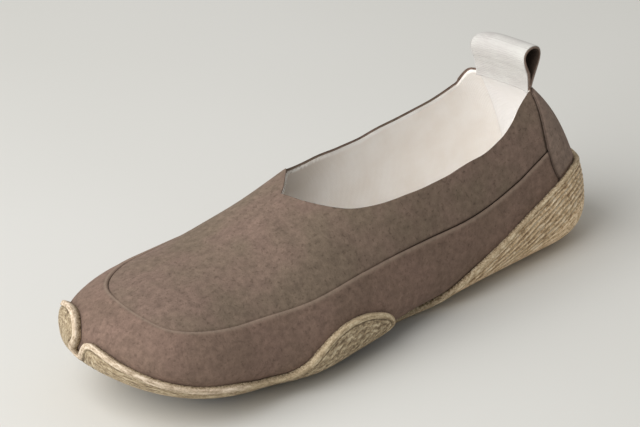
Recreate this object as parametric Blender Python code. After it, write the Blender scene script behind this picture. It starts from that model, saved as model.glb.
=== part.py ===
"""Slip-on shoe for the left foot: upper, board, outsole, insole, heel strip and pull loop.

The shoe stands on the plane z = 0 with its toe towards +X and its outer side towards +Y.
Sizes below are in millimetres; add_piece turns them into metres.
"""
import math

import bmesh
import bpy
import numpy as np
from mathutils import Vector
from mathutils.geometry import delaunay_2d_cdt

MM = 0.001

# Driving dimensions of the last, x from the back of the heel
LAST_LENGTH = 280.5
HEEL_CENTRE = 34.0
TOE_CENTRE = 226.0
BALL_X = 190.0
TOE_SPRING = 16.0
TOE_ROUNDNESS = 2.45
TOE_FALL = 0.18
HEEL_ROUNDNESS = 2.23
HEEL_LEAN = 15.8
LEAN_FROM_Z = 28.0
LEAN_TO_Z = 80.0
LEAN_POWER = 1.3
BOTTOM_SINK = 1.7
CENTRE_X = 140.45
CENTRE_Y = -4.88

# Thicknesses and clearances
SOLE_THICKNESS = 3.0
GAP = 0.3
FACET_ROOM = 0.5
WALL = 2.2
SEAM_STEP = 0.7
BOARD_THICKNESS = 1.6
INSOLE_THICKNESS = 3.0
STRIP_THICKNESS = 0.9
SOLE_TOP_Z = SOLE_THICKNESS + GAP

# Sections of the last: half-widths to the outer and inner side, and where the upper's lower edge is
LAST_COLUMNS = ("x", "outer", "inner", "spine", "widest", "crown", "n_low", "n_high", "shear",
                "outer_edge", "inner_edge")
LAST_ROWS = (
    (34.0, 35.0, 34.2, 0.0, 23.0, 92.0, 2.90, 2.40, -4.0, 0.80, 0.80),
    (80.0, 36.0, 34.6, 0.0, 24.0, 92.5, 2.85, 2.30, -3.5, 0.80, 0.45),
    (120.0, 38.7, 34.4, 0.0, 22.6, 85.7, 2.70, 2.20, -4.2, 0.80, 0.10),
    (160.0, 43.3, 40.8, -1.5, 19.5, 71.2, 2.50, 2.20, -5.0, 0.80, 0.12),
    (195.0, 47.8, 45.6, -4.0, 17.2, 61.4, 2.60, 2.20, -4.3, 0.80, 0.70),
    (226.0, 47.6, 46.6, -7.0, 20.0, 53.6, 2.45, 2.20, -4.2, 0.80, 0.80),
)

# Collar edge as an angle up the section, 90 at the throat where both sides meet; round the back of the
# heel it rises to one height
HEEL_COLLAR = 52.8
HEEL_COLLAR_FROM = 0.62
COLLAR_COLUMNS = ("x", "outer", "inner")
COLLAR_ROWS = (
    (34.0, 52.8, 40.3),
    (43.0, 47.0, 37.6),
    (50.0, 41.5, 36.2),
    (60.0, 36.5, 35.3),
    (76.0, 33.3, 34.4),
    (93.0, 33.3, 34.6),
    (110.0, 35.4, 38.2),
    (126.0, 39.2, 43.9),
    (135.0, 42.4, 46.8),
    (144.3, 47.4, 53.0),
    (152.0, 53.3, 70.5),
    (158.6, 61.6, 81.0),
    (163.5, 71.0, 86.8),
    (166.2, 79.4, 89.0),
    (167.6, 90.0, 90.0),
)

# Apron seam as an angle up the section; turn is the direction round the toe, 90 on the outer side
SIDE_SEAM_COLUMNS = ("x", "outer", "inner")
SIDE_SEAM_ROWS = (
    (34.0, 20.6, 21.0),
    (45.0, 17.4, 17.8),
    (57.0, 14.4, 15.0),
    (86.0, 10.7, 12.5),
    (119.0, 14.1, 17.5),
    (150.0, 19.6, 25.0),
    (180.0, 24.6, 36.0),
    (205.0, 27.8, 48.0),
    (226.0, 29.2, 57.0),
)
TOE_SEAM_COLUMNS = ("turn", "angle")
TOE_SEAM_ROWS = (
    (-90.0, 57.0),
    (-54.0, 56.4),
    (-36.0, 54.9),
    (-20.0, 52.5),
    (-6.0, 50.2),
    (6.0, 47.9),
    (18.0, 44.6),
    (28.0, 40.8),
    (36.0, 36.8),
    (45.0, 33.8),
    (64.0, 31.4),
    (90.0, 29.2),
)

# Pattern of the outsole laid flat: distances from the spine are measured along the skin of the last
SOLE_COLUMNS = ("stretch", "x", "y")
SOLE_ROWS = (
    ("heel cup", -29.3, 0.0),
    ("heel cup", -22.6, 26.6),
    ("heel cup", -7.2, 50.0),
    ("heel cup", 10.0, 60.4),
    ("outer wing", 30.0, 61.2),
    ("outer wing", 44.0, 56.8),
    ("outer wing", 73.0, 47.0),
    ("outer wing", 99.0, 38.8),
    ("outer wing", 107.0, 35.0),
    ("slot mouth", 115.0, 30.0),
    ("slot mouth", 125.0, 26.6),
    ("slot mouth", 139.0, 25.4),
    ("slot inner wall", 155.0, 25.2),
    ("slot inner wall", 185.0, 21.2),
    ("slot inner wall", 216.0, 12.6),
    ("keyhole", 222.0, 7.5),
    ("keyhole", 230.5, -7.0),
    ("keyhole", 235.0, -9.6),
    ("keyhole", 240.5, -8.2),
    ("keyhole", 242.6, -3.0),
    ("keyhole", 238.5, 14.0),
    ("keyhole", 233.5, 19.4),
    ("slot outer wall", 222.0, 20.4),
    ("slot outer wall", 190.0, 29.2),
    ("slot outer wall", 161.0, 36.8),
    ("lobe tip", 151.6, 39.2),
    ("lobe tip", 148.6, 42.6),
    ("lobe tip", 151.2, 47.8),
    ("lobe", 159.5, 52.6),
    ("lobe", 170.0, 56.4),
    ("lobe", 180.0, 57.8),
    ("lobe", 189.0, 56.4),
    ("lobe", 197.5, 52.0),
    ("lobe", 205.0, 46.2),
    ("lobe", 213.0, 41.4),
    ("outer strip", 224.0, 40.4),
    ("outer strip", 240.0, 41.4),
    ("outer strip", 250.0, 39.2),
    ("outer strip", 258.5, 35.6),
    ("outer strip", 266.5, 31.0),
    ("outer strip", 274.2, 25.0),
    ("outer strip", 281.4, 17.0),
    ("outer strip", 286.0, 8.8),
    ("outer strip", 289.4, 0.4),
    ("notch", 290.9, -6.2),
    ("notch", 289.6, -11.2),
    ("notch", 285.4, -15.2),
    ("notch", 281.2, -18.8),
    ("notch", 280.0, -21.2),
    ("notch", 282.2, -22.2),
    ("notch", 286.2, -19.2),
    ("toe patch", 290.6, -17.3),
    ("toe patch", 294.8, -19.2),
    ("toe patch", 298.2, -24.6),
    ("toe patch", 298.7, -33.0),
    ("toe patch", 294.6, -42.4),
    ("toe patch", 285.6, -51.4),
    ("inner strip", 270.0, -58.8),
    ("inner strip", 246.0, -61.6),
    ("inner strip", 218.0, -60.0),
    ("inner strip", 195.0, -57.4),
    ("inner strip", 186.0, -54.4),
    ("arch", 177.0, -44.0),
    ("arch", 167.0, -27.0),
    ("arch", 155.0, -15.4),
    ("arch", 139.0, -9.6),
    ("arch", 124.0, -9.6),
    ("arch", 111.0, -14.4),
    ("arch", 99.0, -25.0),
    ("arch", 90.0, -35.0),
    ("inner wing", 79.0, -42.6),
    ("inner wing", 54.0, -52.0),
    ("inner wing", 34.0, -58.8),
    ("heel cup", 12.0, -60.3),
    ("heel cup", -7.2, -49.2),
    ("heel cup", -22.6, -26.6),
)

# Relief of the outsole's outer skin by distance from its edge, and the ribs of its side
RELIEF_COLUMNS = ("distance", "depth")
RELIEF_ROWS = ((0.0, 0.9), (1.1, 0.0), (2.5, 0.0), (3.3, 0.85), (4.6, 0.4))
RIB_PITCH = 4.4
RIB_DEPTH = 0.55
RIB_COUNT = 4
HEEL_RIBS_BEFORE_X = 88.0
RIB_ROOM = 1.7

# Spacing of the outsole's points
EDGE_SPACING = 6.5
TIGHT_SPACING = 3.0
TIGHT_STRETCHES = ("notch", "keyhole", "lobe tip", "slot mouth", "toe patch")
FLAT_SPACING = 11.0
BEND_SPACING = 6.6
INSIDE_SPACING = 5.6
FLAT_SHARE = 0.46
ROW_ROOM = 0.8
GRID_ROOM_SHARE = 0.6

# Heel strip: half-angle round the heel at its lower and upper end and its bow between them, and its
# clearance at both ends
STRIP_LOW_ANGLE = 83.0
STRIP_HIGH_ANGLE = 78.0
STRIP_BOW = 9.0
STRIP_SOLE_ROOM = 0.8
STRIP_COLLAR_ROOM = 1.6

# Pull loop: a tape folded into a drop-shaped ring that leans backwards from its foot and sags a little
# at its inner end
LOOP_OUTER_ANGLE = 59.0
LOOP_INNER_ANGLE = 43.0
LOOP_HEIGHT = 19.5
LOOP_LEAN = 1.6
LOOP_STRAIGHTEN = 0.85
STRAIGHT_FROM = 6.5
LOOP_HALF_DEPTH = 6.8
LOOP_TAPE = 1.5
LOOP_FOOT = 1.3
LOOP_COLLAR_ROOM = 0.7
HOLE_RISE = 3.6
HOLE_HEIGHT = 14.4
DROP_FULLNESS = 1.3
LOOP_SAG = 2.4


def table(columns, rows, name):
    """One named column of a table, as an array."""
    at = columns.index(name)
    return np.array([row[at] for row in rows], float)


def smooth(knots, values, at, end_slopes=None):
    """Monotone cubic through the knots, held level beyond both ends."""
    at = np.asarray(at, float)
    step = np.diff(knots)
    slope = np.diff(values) / step
    tangent = np.zeros_like(values)
    same_sign = slope[:-1] * slope[1:] > 0
    total = np.where(same_sign, slope[:-1] + slope[1:], 1.0)
    tangent[1:-1] = np.where(same_sign, 2 * slope[:-1] * slope[1:] / total, 0.0)
    tangent[0], tangent[-1] = end_slopes or (slope[0], slope[-1])
    i = np.clip(np.searchsorted(knots, at) - 1, 0, len(knots) - 2)
    t = np.clip((at - knots[i]) / step[i], 0, 1)
    start = values[i] * (1 + 2 * t) * (1 - t) ** 2 + tangent[i] * step[i] * t * (1 - t) ** 2
    end = values[i + 1] * t * t * (3 - 2 * t) + tangent[i + 1] * step[i] * t * t * (t - 1)
    return start + end


def section(name, x):
    """Value of one column of the last table at station x, level where the rounded ends begin."""
    toe_slope = -TOE_FALL if name == "crown" else 0.0
    knots = table(LAST_COLUMNS, LAST_ROWS, "x")
    return smooth(knots, table(LAST_COLUMNS, LAST_ROWS, name), x, (0.0, toe_slope))


def fan_reach(turn, length, outer, inner, roundness):
    """Half-width of a rounded end in the direction turn, by a superellipse."""
    side = np.where(np.sin(turn) >= 0, outer, inner)
    along = np.abs(np.cos(turn)) / length
    across = np.abs(np.sin(turn)) / side
    return (along ** roundness + across ** roundness) ** (-1.0 / roundness)


class Columns:
    """Upright half-sections of the last, each with its foot on the spine and a direction outwards."""

    def __init__(self, foot_x, turn):
        self.station = np.clip(np.asarray(foot_x, float), HEEL_CENTRE, TOE_CENTRE)
        self.turn = np.asarray(turn, float)
        self.dx = np.cos(self.turn)
        self.dy = np.sin(self.turn)
        outer = section("outer", self.station)
        inner = section("inner", self.station)
        heel = fan_reach(self.turn, HEEL_CENTRE, outer, inner, HEEL_ROUNDNESS)
        toe = fan_reach(self.turn, LAST_LENGTH - TOE_CENTRE, outer, inner, TOE_ROUNDNESS)
        self.reach = np.where(self.dx < 0, heel, toe)
        self.foot_y = section("spine", self.station)
        self.is_outer = self.dy >= -1e-9


def skin(columns, angle, grow):
    """Points of the last's skin grown outwards; angle is -90 under the foot and 90 at the crown."""
    widest = section("widest", columns.station)[:, None]
    crown = section("crown", columns.station)[:, None]
    n_low = section("n_low", columns.station)[:, None]
    n_high = section("n_high", columns.station)[:, None]
    shear = section("shear", columns.station)[:, None]
    phi = np.radians(angle)
    power = 2.0 / np.where(phi < 0, n_low, n_high)
    out = (columns.reach[:, None] + grow) * np.abs(np.cos(phi)) ** power
    rise = np.abs(np.sin(phi)) ** power
    low = np.maximum(widest - (widest - SOLE_TOP_Z + BOTTOM_SINK + grow) * rise, SOLE_TOP_Z - grow)
    high = widest + (crown - widest + grow) * rise
    z = np.where(phi < 0, low, high)
    tip = np.clip((z - widest) / (crown - widest), 0, 1)
    lean = np.clip((z - LEAN_FROM_Z) / (LEAN_TO_Z - LEAN_FROM_Z), 0, 1.3) ** LEAN_POWER
    back = np.clip(-columns.dx, 0, 1)[:, None]
    along = columns.dx[:, None] * out
    z = z - TOE_FALL * tip * np.clip(along, 0, None)
    x = columns.station[:, None] + along + HEEL_LEAN * back * lean
    y = columns.foot_y[:, None] + columns.dy[:, None] * out + shear * tip
    ahead = np.clip((x - BALL_X) / (LAST_LENGTH - BALL_X), 0, 1.2)
    return np.stack([x, y, z + TOE_SPRING * ahead ** 2], axis=-1)


PROFILE_ANGLES = np.linspace(-90.0, 90.0, 361)


def girth(columns):
    """Length along the skin from the spine under the foot, at each of PROFILE_ANGLES."""
    angle = np.repeat(PROFILE_ANGLES[None, :], len(columns.turn), axis=0)
    points = skin(columns, angle, 0.0)
    points[..., 2] -= TOE_SPRING * np.clip((points[..., 0] - BALL_X) / (LAST_LENGTH - BALL_X), 0, 1.2) ** 2
    step = np.linalg.norm(np.diff(points, axis=1), axis=-1)
    return np.concatenate([np.zeros((len(columns.turn), 1)), np.cumsum(step, axis=1)], axis=1)


def angle_at(columns, length):
    """Angle at which the skin reaches the given lengths, one row of lengths a column."""
    lengths = girth(columns)
    return np.array([np.interp(want, have, PROFILE_ANGLES) for want, have in zip(length, lengths)])


def length_at(columns, angle):
    """Length along the skin at one angle a column."""
    lengths = girth(columns)
    return np.array([np.interp(a, PROFILE_ANGLES, have) for a, have in zip(angle, lengths)])


def edge_angle(columns):
    """Angle of the upper's lower edge, turned in under the foot."""
    share = np.where(columns.is_outer, section("outer_edge", columns.station),
                     section("inner_edge", columns.station))
    return -np.degrees(np.arccos(share ** (section("n_low", columns.station) / 2)))


def side_angle(columns, names, rows):
    """Angle from a table with an outer and an inner column, by station."""
    knots = table(names, rows, "x")
    outer = smooth(knots, table(names, rows, "outer"), columns.station)
    inner = smooth(knots, table(names, rows, "inner"), columns.station)
    return np.where(columns.is_outer, outer, inner)


def collar_angle(columns):
    """Angle of the collar edge, 90 ahead of the throat."""
    side = side_angle(columns, COLLAR_COLUMNS, COLLAR_ROWS)
    back = np.clip(-columns.dx / HEEL_COLLAR_FROM, 0, 1)
    return side + (HEEL_COLLAR - side) * back * back * (3 - 2 * back)


def seam_angle(columns):
    """Angle of the apron seam."""
    side = side_angle(columns, SIDE_SEAM_COLUMNS, SIDE_SEAM_ROWS)
    turns = table(TOE_SEAM_COLUMNS, TOE_SEAM_ROWS, "turn")
    toe = smooth(turns, table(TOE_SEAM_COLUMNS, TOE_SEAM_ROWS, "angle"), np.degrees(columns.turn))
    return np.where(columns.dx > 1e-6, toe, side)


def ring_of_columns(heel_steps, side_stations, toe_steps):
    """Columns all round the last, from the back of the heel by the outer side."""
    heel = np.linspace(math.pi, math.pi / 2, heel_steps, endpoint=False)
    toe = np.linspace(math.pi / 2, -math.pi / 2, toe_steps, endpoint=False)
    stations = np.asarray(side_stations, float)
    sides = len(stations) - 1
    foot = np.concatenate([np.full(heel_steps, HEEL_CENTRE), stations[:-1], np.full(toe_steps, TOE_CENTRE),
                           stations[:0:-1], np.full(heel_steps, HEEL_CENTRE)])
    turn = np.concatenate([heel, np.full(sides, math.pi / 2), toe, np.full(sides, -math.pi / 2),
                           -heel[::-1] - (heel[0] - heel[1])])
    return Columns(foot, turn)


def between(start, end, count):
    """Rows of values evenly spaced from start to end, both ends included."""
    share = np.linspace(0, 1, count)[None, :]
    return start[:, None] + (end - start)[:, None] * share


def add_piece(name, points, faces, colour, roughness):
    """Makes a closed solid from points in millimetres."""
    mesh = bpy.data.meshes.new(name)
    shift = np.array([CENTRE_X, CENTRE_Y, 0.0])
    mesh.from_pydata(((np.asarray(points) - shift) * MM).tolist(), [], [tuple(f) for f in faces])
    work = bmesh.new()
    work.from_mesh(mesh)
    bmesh.ops.remove_doubles(work, verts=work.verts[:], dist=1e-7)
    bmesh.ops.dissolve_degenerate(work, edges=work.edges[:], dist=1e-7)
    bmesh.ops.triangulate(work, faces=work.faces[:])
    bmesh.ops.recalc_face_normals(work, faces=work.faces[:])
    work.to_mesh(mesh)
    work.free()
    mesh.shade_smooth()
    mesh.set_sharp_from_angle(angle=math.radians(35))
    material = bpy.data.materials.new(name)
    material.use_nodes = True
    shader = material.node_tree.nodes["Principled BSDF"]
    shader.inputs["Base Color"].default_value = (*colour, 1.0)
    shader.inputs["Roughness"].default_value = roughness
    shader.inputs["Metallic"].default_value = 0.0
    mesh.materials.append(material)
    piece = bpy.data.objects.new(name, mesh)
    bpy.context.scene.collection.objects.link(piece)
    print(name, len(mesh.vertices), "points", len(mesh.polygons), "triangles")
    return piece


def grid_faces(first, columns, rows, closed):
    """Quads of a grid stored column by column."""
    faces = []
    for i in range(columns if closed else columns - 1):
        j = (i + 1) % columns
        for k in range(rows - 1):
            faces.append((first + i * rows + k, first + j * rows + k,
                          first + j * rows + k + 1, first + i * rows + k + 1))
    return faces


def shell(outside, inside, closed, join_first=True, open_top=None):
    """Points and faces of a wall between two grids, joined along their borders.

    open_top is False for columns whose last points meet the other side's, with no border there.
    """
    columns, out_rows = outside.shape[:2]
    in_rows = inside.shape[1]
    start = columns * out_rows
    points = np.concatenate([outside.reshape(-1, 3), inside.reshape(-1, 3)])
    faces = grid_faces(0, columns, out_rows, closed)
    faces += [face[::-1] for face in grid_faces(start, columns, in_rows, closed)]
    for i in range(columns if closed else columns - 1):
        j = (i + 1) % columns
        if join_first:
            faces.append((j * out_rows, i * out_rows, start + i * in_rows, start + j * in_rows))
        if open_top is None or open_top[i] or open_top[j]:
            faces.append((i * out_rows + out_rows - 1, j * out_rows + out_rows - 1,
                          start + j * in_rows + in_rows - 1, start + i * in_rows + in_rows - 1))
    if not closed:
        for i in (0, columns - 1):
            for k in range(out_rows - 1):
                side = (i * out_rows + k, i * out_rows + k + 1,
                        start + i * in_rows + k + 1, start + i * in_rows + k)
                faces.append(side if i == 0 else side[::-1])
    return points, faces


def upper_columns():
    """Columns of the upper, closer together where the collar turns at the throat."""
    rear = np.linspace(HEEL_CENTRE, 143.0, 12)
    throat = table(COLLAR_COLUMNS, COLLAR_ROWS, "x")[-5:]
    front = np.linspace(throat[-1], TOE_CENTRE, 7)[1:]
    return ring_of_columns(7, np.concatenate([rear, throat, front]), 18)


def make_upper():
    """Hollow upper on the last; below the apron seam its wall is SEAM_STEP thicker."""
    columns = upper_columns()
    low = length_at(columns, edge_angle(columns))
    seam = length_at(columns, seam_angle(columns))
    top = length_at(columns, collar_angle(columns))
    below = skin(columns, angle_at(columns, between(low, seam - SEAM_STEP / 2, 10)), 0.0)
    above = skin(columns, angle_at(columns, between(seam + SEAM_STEP / 2, top, 8)), -SEAM_STEP)
    inside = skin(columns, angle_at(columns, between(low, top, 12)), -WALL)
    outside = np.concatenate([below, above], axis=1)
    points, faces = shell(outside, inside, closed=True, open_top=collar_angle(columns) < 90.0)
    add_piece("upper", points, faces, (0.128, 0.094, 0.075), 0.9)


def plate(name, share, under, thickness, colour, roughness):
    """Solid under the foot between two skins, as far out as share of each column's reach."""
    columns = upper_columns()
    n_low = section("n_low", columns.station)[:, None]
    rings = np.sqrt(np.linspace(0.0, 1.0, 4))[None, :] * share(columns)[:, None]
    angle = -np.degrees(np.arccos(rings ** (n_low / 2)))
    bottom = skin(columns, angle, under)
    top = skin(columns, angle, under - thickness)
    points, faces = shell(bottom, top, closed=True, join_first=False)
    add_piece(name, points, faces, colour, roughness)


def board_share(columns):
    """The board fills the opening inside the upper's lower edge."""
    edge = np.where(columns.is_outer, section("outer_edge", columns.station),
                    section("inner_edge", columns.station))
    return edge - (GAP + FACET_ROOM) / columns.reach


def insole_share(columns):
    """The insole reaches up into the curve of the wall."""
    return np.full(len(columns.turn), 0.90)


def spline_loop(points, spacings):
    """Closed centripetal curve through the points, with about the spacing given after each."""
    count = len(points)
    curve = []
    for i in range(count):
        p = [points[(i + k) % count] for k in (-1, 0, 1, 2)]
        knot = np.concatenate([[0.0], np.cumsum([np.linalg.norm(p[k + 1] - p[k]) ** 0.5 for k in range(3)])])
        steps = max(1, round(float(np.linalg.norm(p[2] - p[1])) / spacings[i]))
        for t in np.linspace(knot[1], knot[2], steps, endpoint=False):
            a = [((knot[k + 1] - t) * p[k] + (t - knot[k]) * p[k + 1]) / (knot[k + 1] - knot[k])
                 for k in range(3)]
            b = [((knot[k + 2] - t) * a[k] + (t - knot[k]) * a[k + 1]) / (knot[k + 2] - knot[k])
                 for k in range(2)]
            curve.append(((knot[2] - t) * b[0] + (t - knot[1]) * b[1]) / (knot[2] - knot[1]))
    return np.array(curve)


def sole_edge():
    """Outline of the flat pattern of the outsole."""
    points = np.stack([table(SOLE_COLUMNS, SOLE_ROWS, "x"), table(SOLE_COLUMNS, SOLE_ROWS, "y")], axis=-1)
    stretch = SOLE_COLUMNS.index("stretch")
    spacings = [TIGHT_SPACING if row[stretch] in TIGHT_STRETCHES else EDGE_SPACING for row in SOLE_ROWS]
    return spline_loop(points, spacings)


def edge_distance(points, edge):
    """Distance of each point from the outline."""
    start = edge
    run = np.roll(edge, -1, axis=0) - edge
    offset = points[:, None] - start[None]
    t = np.clip((offset * run[None]).sum(-1) / (run ** 2).sum(-1)[None], 0, 1)
    return np.linalg.norm(offset - t[..., None] * run[None], axis=-1).min(axis=1)


def is_inside(points, edge):
    """True for points inside the outline, by counting crossings."""
    a, b = edge, np.roll(edge, -1, axis=0)
    x, y = points[:, :1], points[:, 1:]
    spans = (a[None, :, 1] > y) != (b[None, :, 1] > y)
    rise = np.where(b[:, 1] == a[:, 1], 1.0, b[:, 1] - a[:, 1])
    cross = a[None, :, 0] + (y - a[None, :, 1]) * (b[:, 0] - a[:, 0])[None] / rise[None]
    return (spans & (x < cross)).sum(axis=1) % 2 == 1


def inset_row(edge, distance):
    """Points at a distance inside the outline, left out where another part of it is closer."""
    run = np.roll(edge, -1, axis=0) - np.roll(edge, 1, axis=0)
    across = np.stack([run[:, 1], -run[:, 0]], axis=-1) / np.linalg.norm(run, axis=1)[:, None]
    moved = edge + across * distance
    keep = is_inside(moved, edge) & (edge_distance(moved, edge) > distance - 0.25)
    return moved[keep]


def hex_grid(edge, spacing):
    """Points of a triangular grid over the outline's box."""
    low, high = edge.min(axis=0), edge.max(axis=0)
    rows = np.arange(low[1], high[1], spacing * math.sqrt(3) / 2)
    points = []
    for k, y in enumerate(rows):
        start = low[0] + (spacing / 2 if k % 2 else 0.0)
        points += [(x, y) for x in np.arange(start, high[0], spacing)]
    return np.array(points)


def on_pattern(points):
    """Columns and lengths along the skin for points of the flat pattern."""
    station = np.clip(points[:, 0], HEEL_CENTRE, TOE_CENTRE)
    offset = points - np.stack([station, section("spine", station)], axis=-1)
    beside = np.where(offset[:, 1] >= 0, math.pi / 2, -math.pi / 2)
    in_fan = np.abs(offset[:, 0]) > 1e-6
    turn = np.where(in_fan, np.arctan2(offset[:, 1], offset[:, 0]), beside)
    return Columns(station, turn), np.linalg.norm(offset, axis=1)


def is_bent(points):
    """True where the skin under a point of the pattern has left the flat of the bottom."""
    columns, length = on_pattern(points)
    return length > FLAT_SHARE * columns.reach


def is_ribbed(points):
    """True on the sides of the heel, where the outsole has ribs."""
    columns, length = on_pattern(points)
    return (points[:, 0] < HEEL_RIBS_BEFORE_X) & (length > columns.reach)


def relief(points, edge):
    """Depth of the outer skin below its full height: bevel, rim groove, panel and ribs."""
    distance = edge_distance(points, edge)
    depth = np.interp(distance, table(RELIEF_COLUMNS, RELIEF_ROWS, "distance"),
                      table(RELIEF_COLUMNS, RELIEF_ROWS, "depth"))
    depth = np.where((distance > RELIEF_ROWS[-1][0]) & ~is_bent(points), 0.0, depth)
    rib = (distance - RELIEF_ROWS[-1][0]) / RIB_PITCH
    wave = np.where((rib > 0) & (rib < RIB_COUNT), 0.5 - 0.5 * np.cos(2 * math.pi * rib), 0.0)
    return np.where(is_ribbed(points), depth + RIB_DEPTH * wave, depth)


def thin_out(points, kept, room):
    """Adds the points that keep a room from those kept already."""
    kept = list(kept)
    for point in points:
        near = np.array(kept)
        if np.min(np.linalg.norm(near - point, axis=1)) > room:
            kept.append(point)
    return kept


def pattern_mesh(edge, inner_points):
    """Triangles over the outline and the points inside it."""
    points = [Vector((float(x), float(y))) for x, y in np.concatenate([edge, inner_points])]
    border = [(i, (i + 1) % len(edge)) for i in range(len(edge))]
    found = delaunay_2d_cdt(points, border, [], 1, 1e-6)
    if len(found[0]) != len(points):
        raise ValueError("the outline of the outsole crosses itself")
    return np.array([(p.x, p.y) for p in found[0]]), [tuple(face) for face in found[2]]


def outer_points(edge):
    """Points for the outer skin: rows along rim and ribs, then a wider grid."""
    kept = list(edge)
    first = len(kept)
    for distance in table(RELIEF_COLUMNS, RELIEF_ROWS, "distance")[1:]:
        kept = thin_out(inset_row(edge, distance), kept, ROW_ROOM)
    for step in range(1, 2 * RIB_COUNT + 1):
        row = inset_row(edge, RELIEF_ROWS[-1][0] + step * RIB_PITCH / 2)
        kept = thin_out(row[is_ribbed(row)], kept, RIB_ROOM)
    room = RELIEF_ROWS[-1][0] + RIB_ROOM
    for spacing, wanted in ((BEND_SPACING, True), (FLAT_SPACING, False)):
        grid = hex_grid(edge, spacing)
        grid = grid[is_inside(grid, edge) & (is_bent(grid) == wanted)]
        grid = grid[edge_distance(grid, edge) > room]
        kept = thin_out(grid[~is_ribbed(grid)], kept, spacing * GRID_ROOM_SHARE)
    return np.array(kept[first:])


def inner_points(edge):
    """Points for the skin that lies against the upper."""
    kept = list(edge)
    first = len(kept)
    for spacing, wanted in ((INSIDE_SPACING, True), (FLAT_SPACING, False)):
        grid = hex_grid(edge, spacing)
        grid = grid[is_inside(grid, edge) & (is_bent(grid) == wanted)]
        grid = grid[edge_distance(grid, edge) > spacing / 2]
        kept = thin_out(grid, kept, spacing * GRID_ROOM_SHARE)
    return np.array(kept[first:])


def lay_on_last(points, grow):
    """Points of the flat pattern on the skin of the last, grown by one amount each."""
    columns, length = on_pattern(points)
    return skin(columns, angle_at(columns, length[:, None]), grow[:, None])[:, 0]


def make_outsole():
    """Moulded sole: the flat pattern wrapped up on the last, with a rim along every edge."""
    edge = sole_edge()
    outer, outer_faces = pattern_mesh(edge, outer_points(edge))
    inner, inner_faces = pattern_mesh(edge, inner_points(edge))
    outside = lay_on_last(outer, SOLE_TOP_Z - relief(outer, edge))
    room = np.where(is_bent(inner), GAP + FACET_ROOM, GAP)
    inside = lay_on_last(inner, room)
    start = len(outside)
    faces = outer_faces + [tuple(start + i for i in face[::-1]) for face in inner_faces]
    for i in range(len(edge)):
        j = (i + 1) % len(edge)
        faces.append((j, i, start + i, start + j))
    add_piece("outsole", np.concatenate([outside, inside]), faces, (0.33, 0.25, 0.155), 0.85)


def strip_turns(count, rows):
    """Turns round the back of the heel over the strip, one row of them a height."""
    share = np.linspace(-1.0, 1.0, count)[:, None]
    up = np.linspace(0.0, 1.0, rows)[None, :]
    half = STRIP_LOW_ANGLE + (STRIP_HIGH_ANGLE - STRIP_LOW_ANGLE) * up + 4 * STRIP_BOW * up * (1 - up)
    return math.pi - np.radians(share * half)


def make_heel_strip():
    """Strip of cloth over the back seam, between two skins outside the upper."""
    edge = sole_edge()
    count, rows = 15, 7
    turns = strip_turns(count, rows)
    layers = []
    for grow in (GAP + STRIP_THICKNESS, GAP):
        layer = np.zeros((count, rows, 3))
        for k in range(rows):
            columns = Columns(np.full(count, HEEL_CENTRE), turns[:, k])
            spread = np.array([edge_reach(edge, turn) for turn in turns[:, k]])
            low = spread + STRIP_SOLE_ROOM
            top = length_at(columns, collar_angle(columns)) - STRIP_COLLAR_ROOM
            length = low + (top - low) * k / (rows - 1)
            layer[:, k] = skin(columns, angle_at(columns, length[:, None]), grow)[:, 0]
        layers.append(layer)
    points, faces = shell(layers[0], layers[1], closed=False)
    add_piece("heel_strip", points, faces, (0.105, 0.078, 0.064), 0.9)


def edge_reach(edge, turn):
    """Distance of the sole's flat outline from the heel centre in one direction."""
    offset = edge - np.array([HEEL_CENTRE, 0.0])
    at_heel = offset[:, 0] < 8.0
    turns = np.mod(np.arctan2(offset[at_heel, 1], offset[at_heel, 0]), 2 * math.pi)
    order = np.argsort(turns)
    lengths = np.linalg.norm(offset[at_heel], axis=1)
    return float(np.interp(np.mod(turn, 2 * math.pi), turns[order], lengths[order]))


def drop_outline(rise, height, half_depth, foot, count):
    """Drop-shaped ring seen from the side, as depth and height: narrow foot below, round top."""
    t = np.linspace(0.0, 2 * math.pi, count, endpoint=False)
    belly = half_depth * DROP_FULLNESS * np.sin(t) * np.sin(t / 2) ** 2
    ankle = foot * np.cos(t / 2) ** 4 * np.where(np.sin(t) >= -1e-9, 1.0, -1.0)
    z = rise + height * (1 - np.cos(t)) / 2
    lean = LOOP_LEAN * np.sin(math.pi / 2 * z / LOOP_HEIGHT)
    return np.stack([belly + ankle + lean, z], axis=-1)


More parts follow.
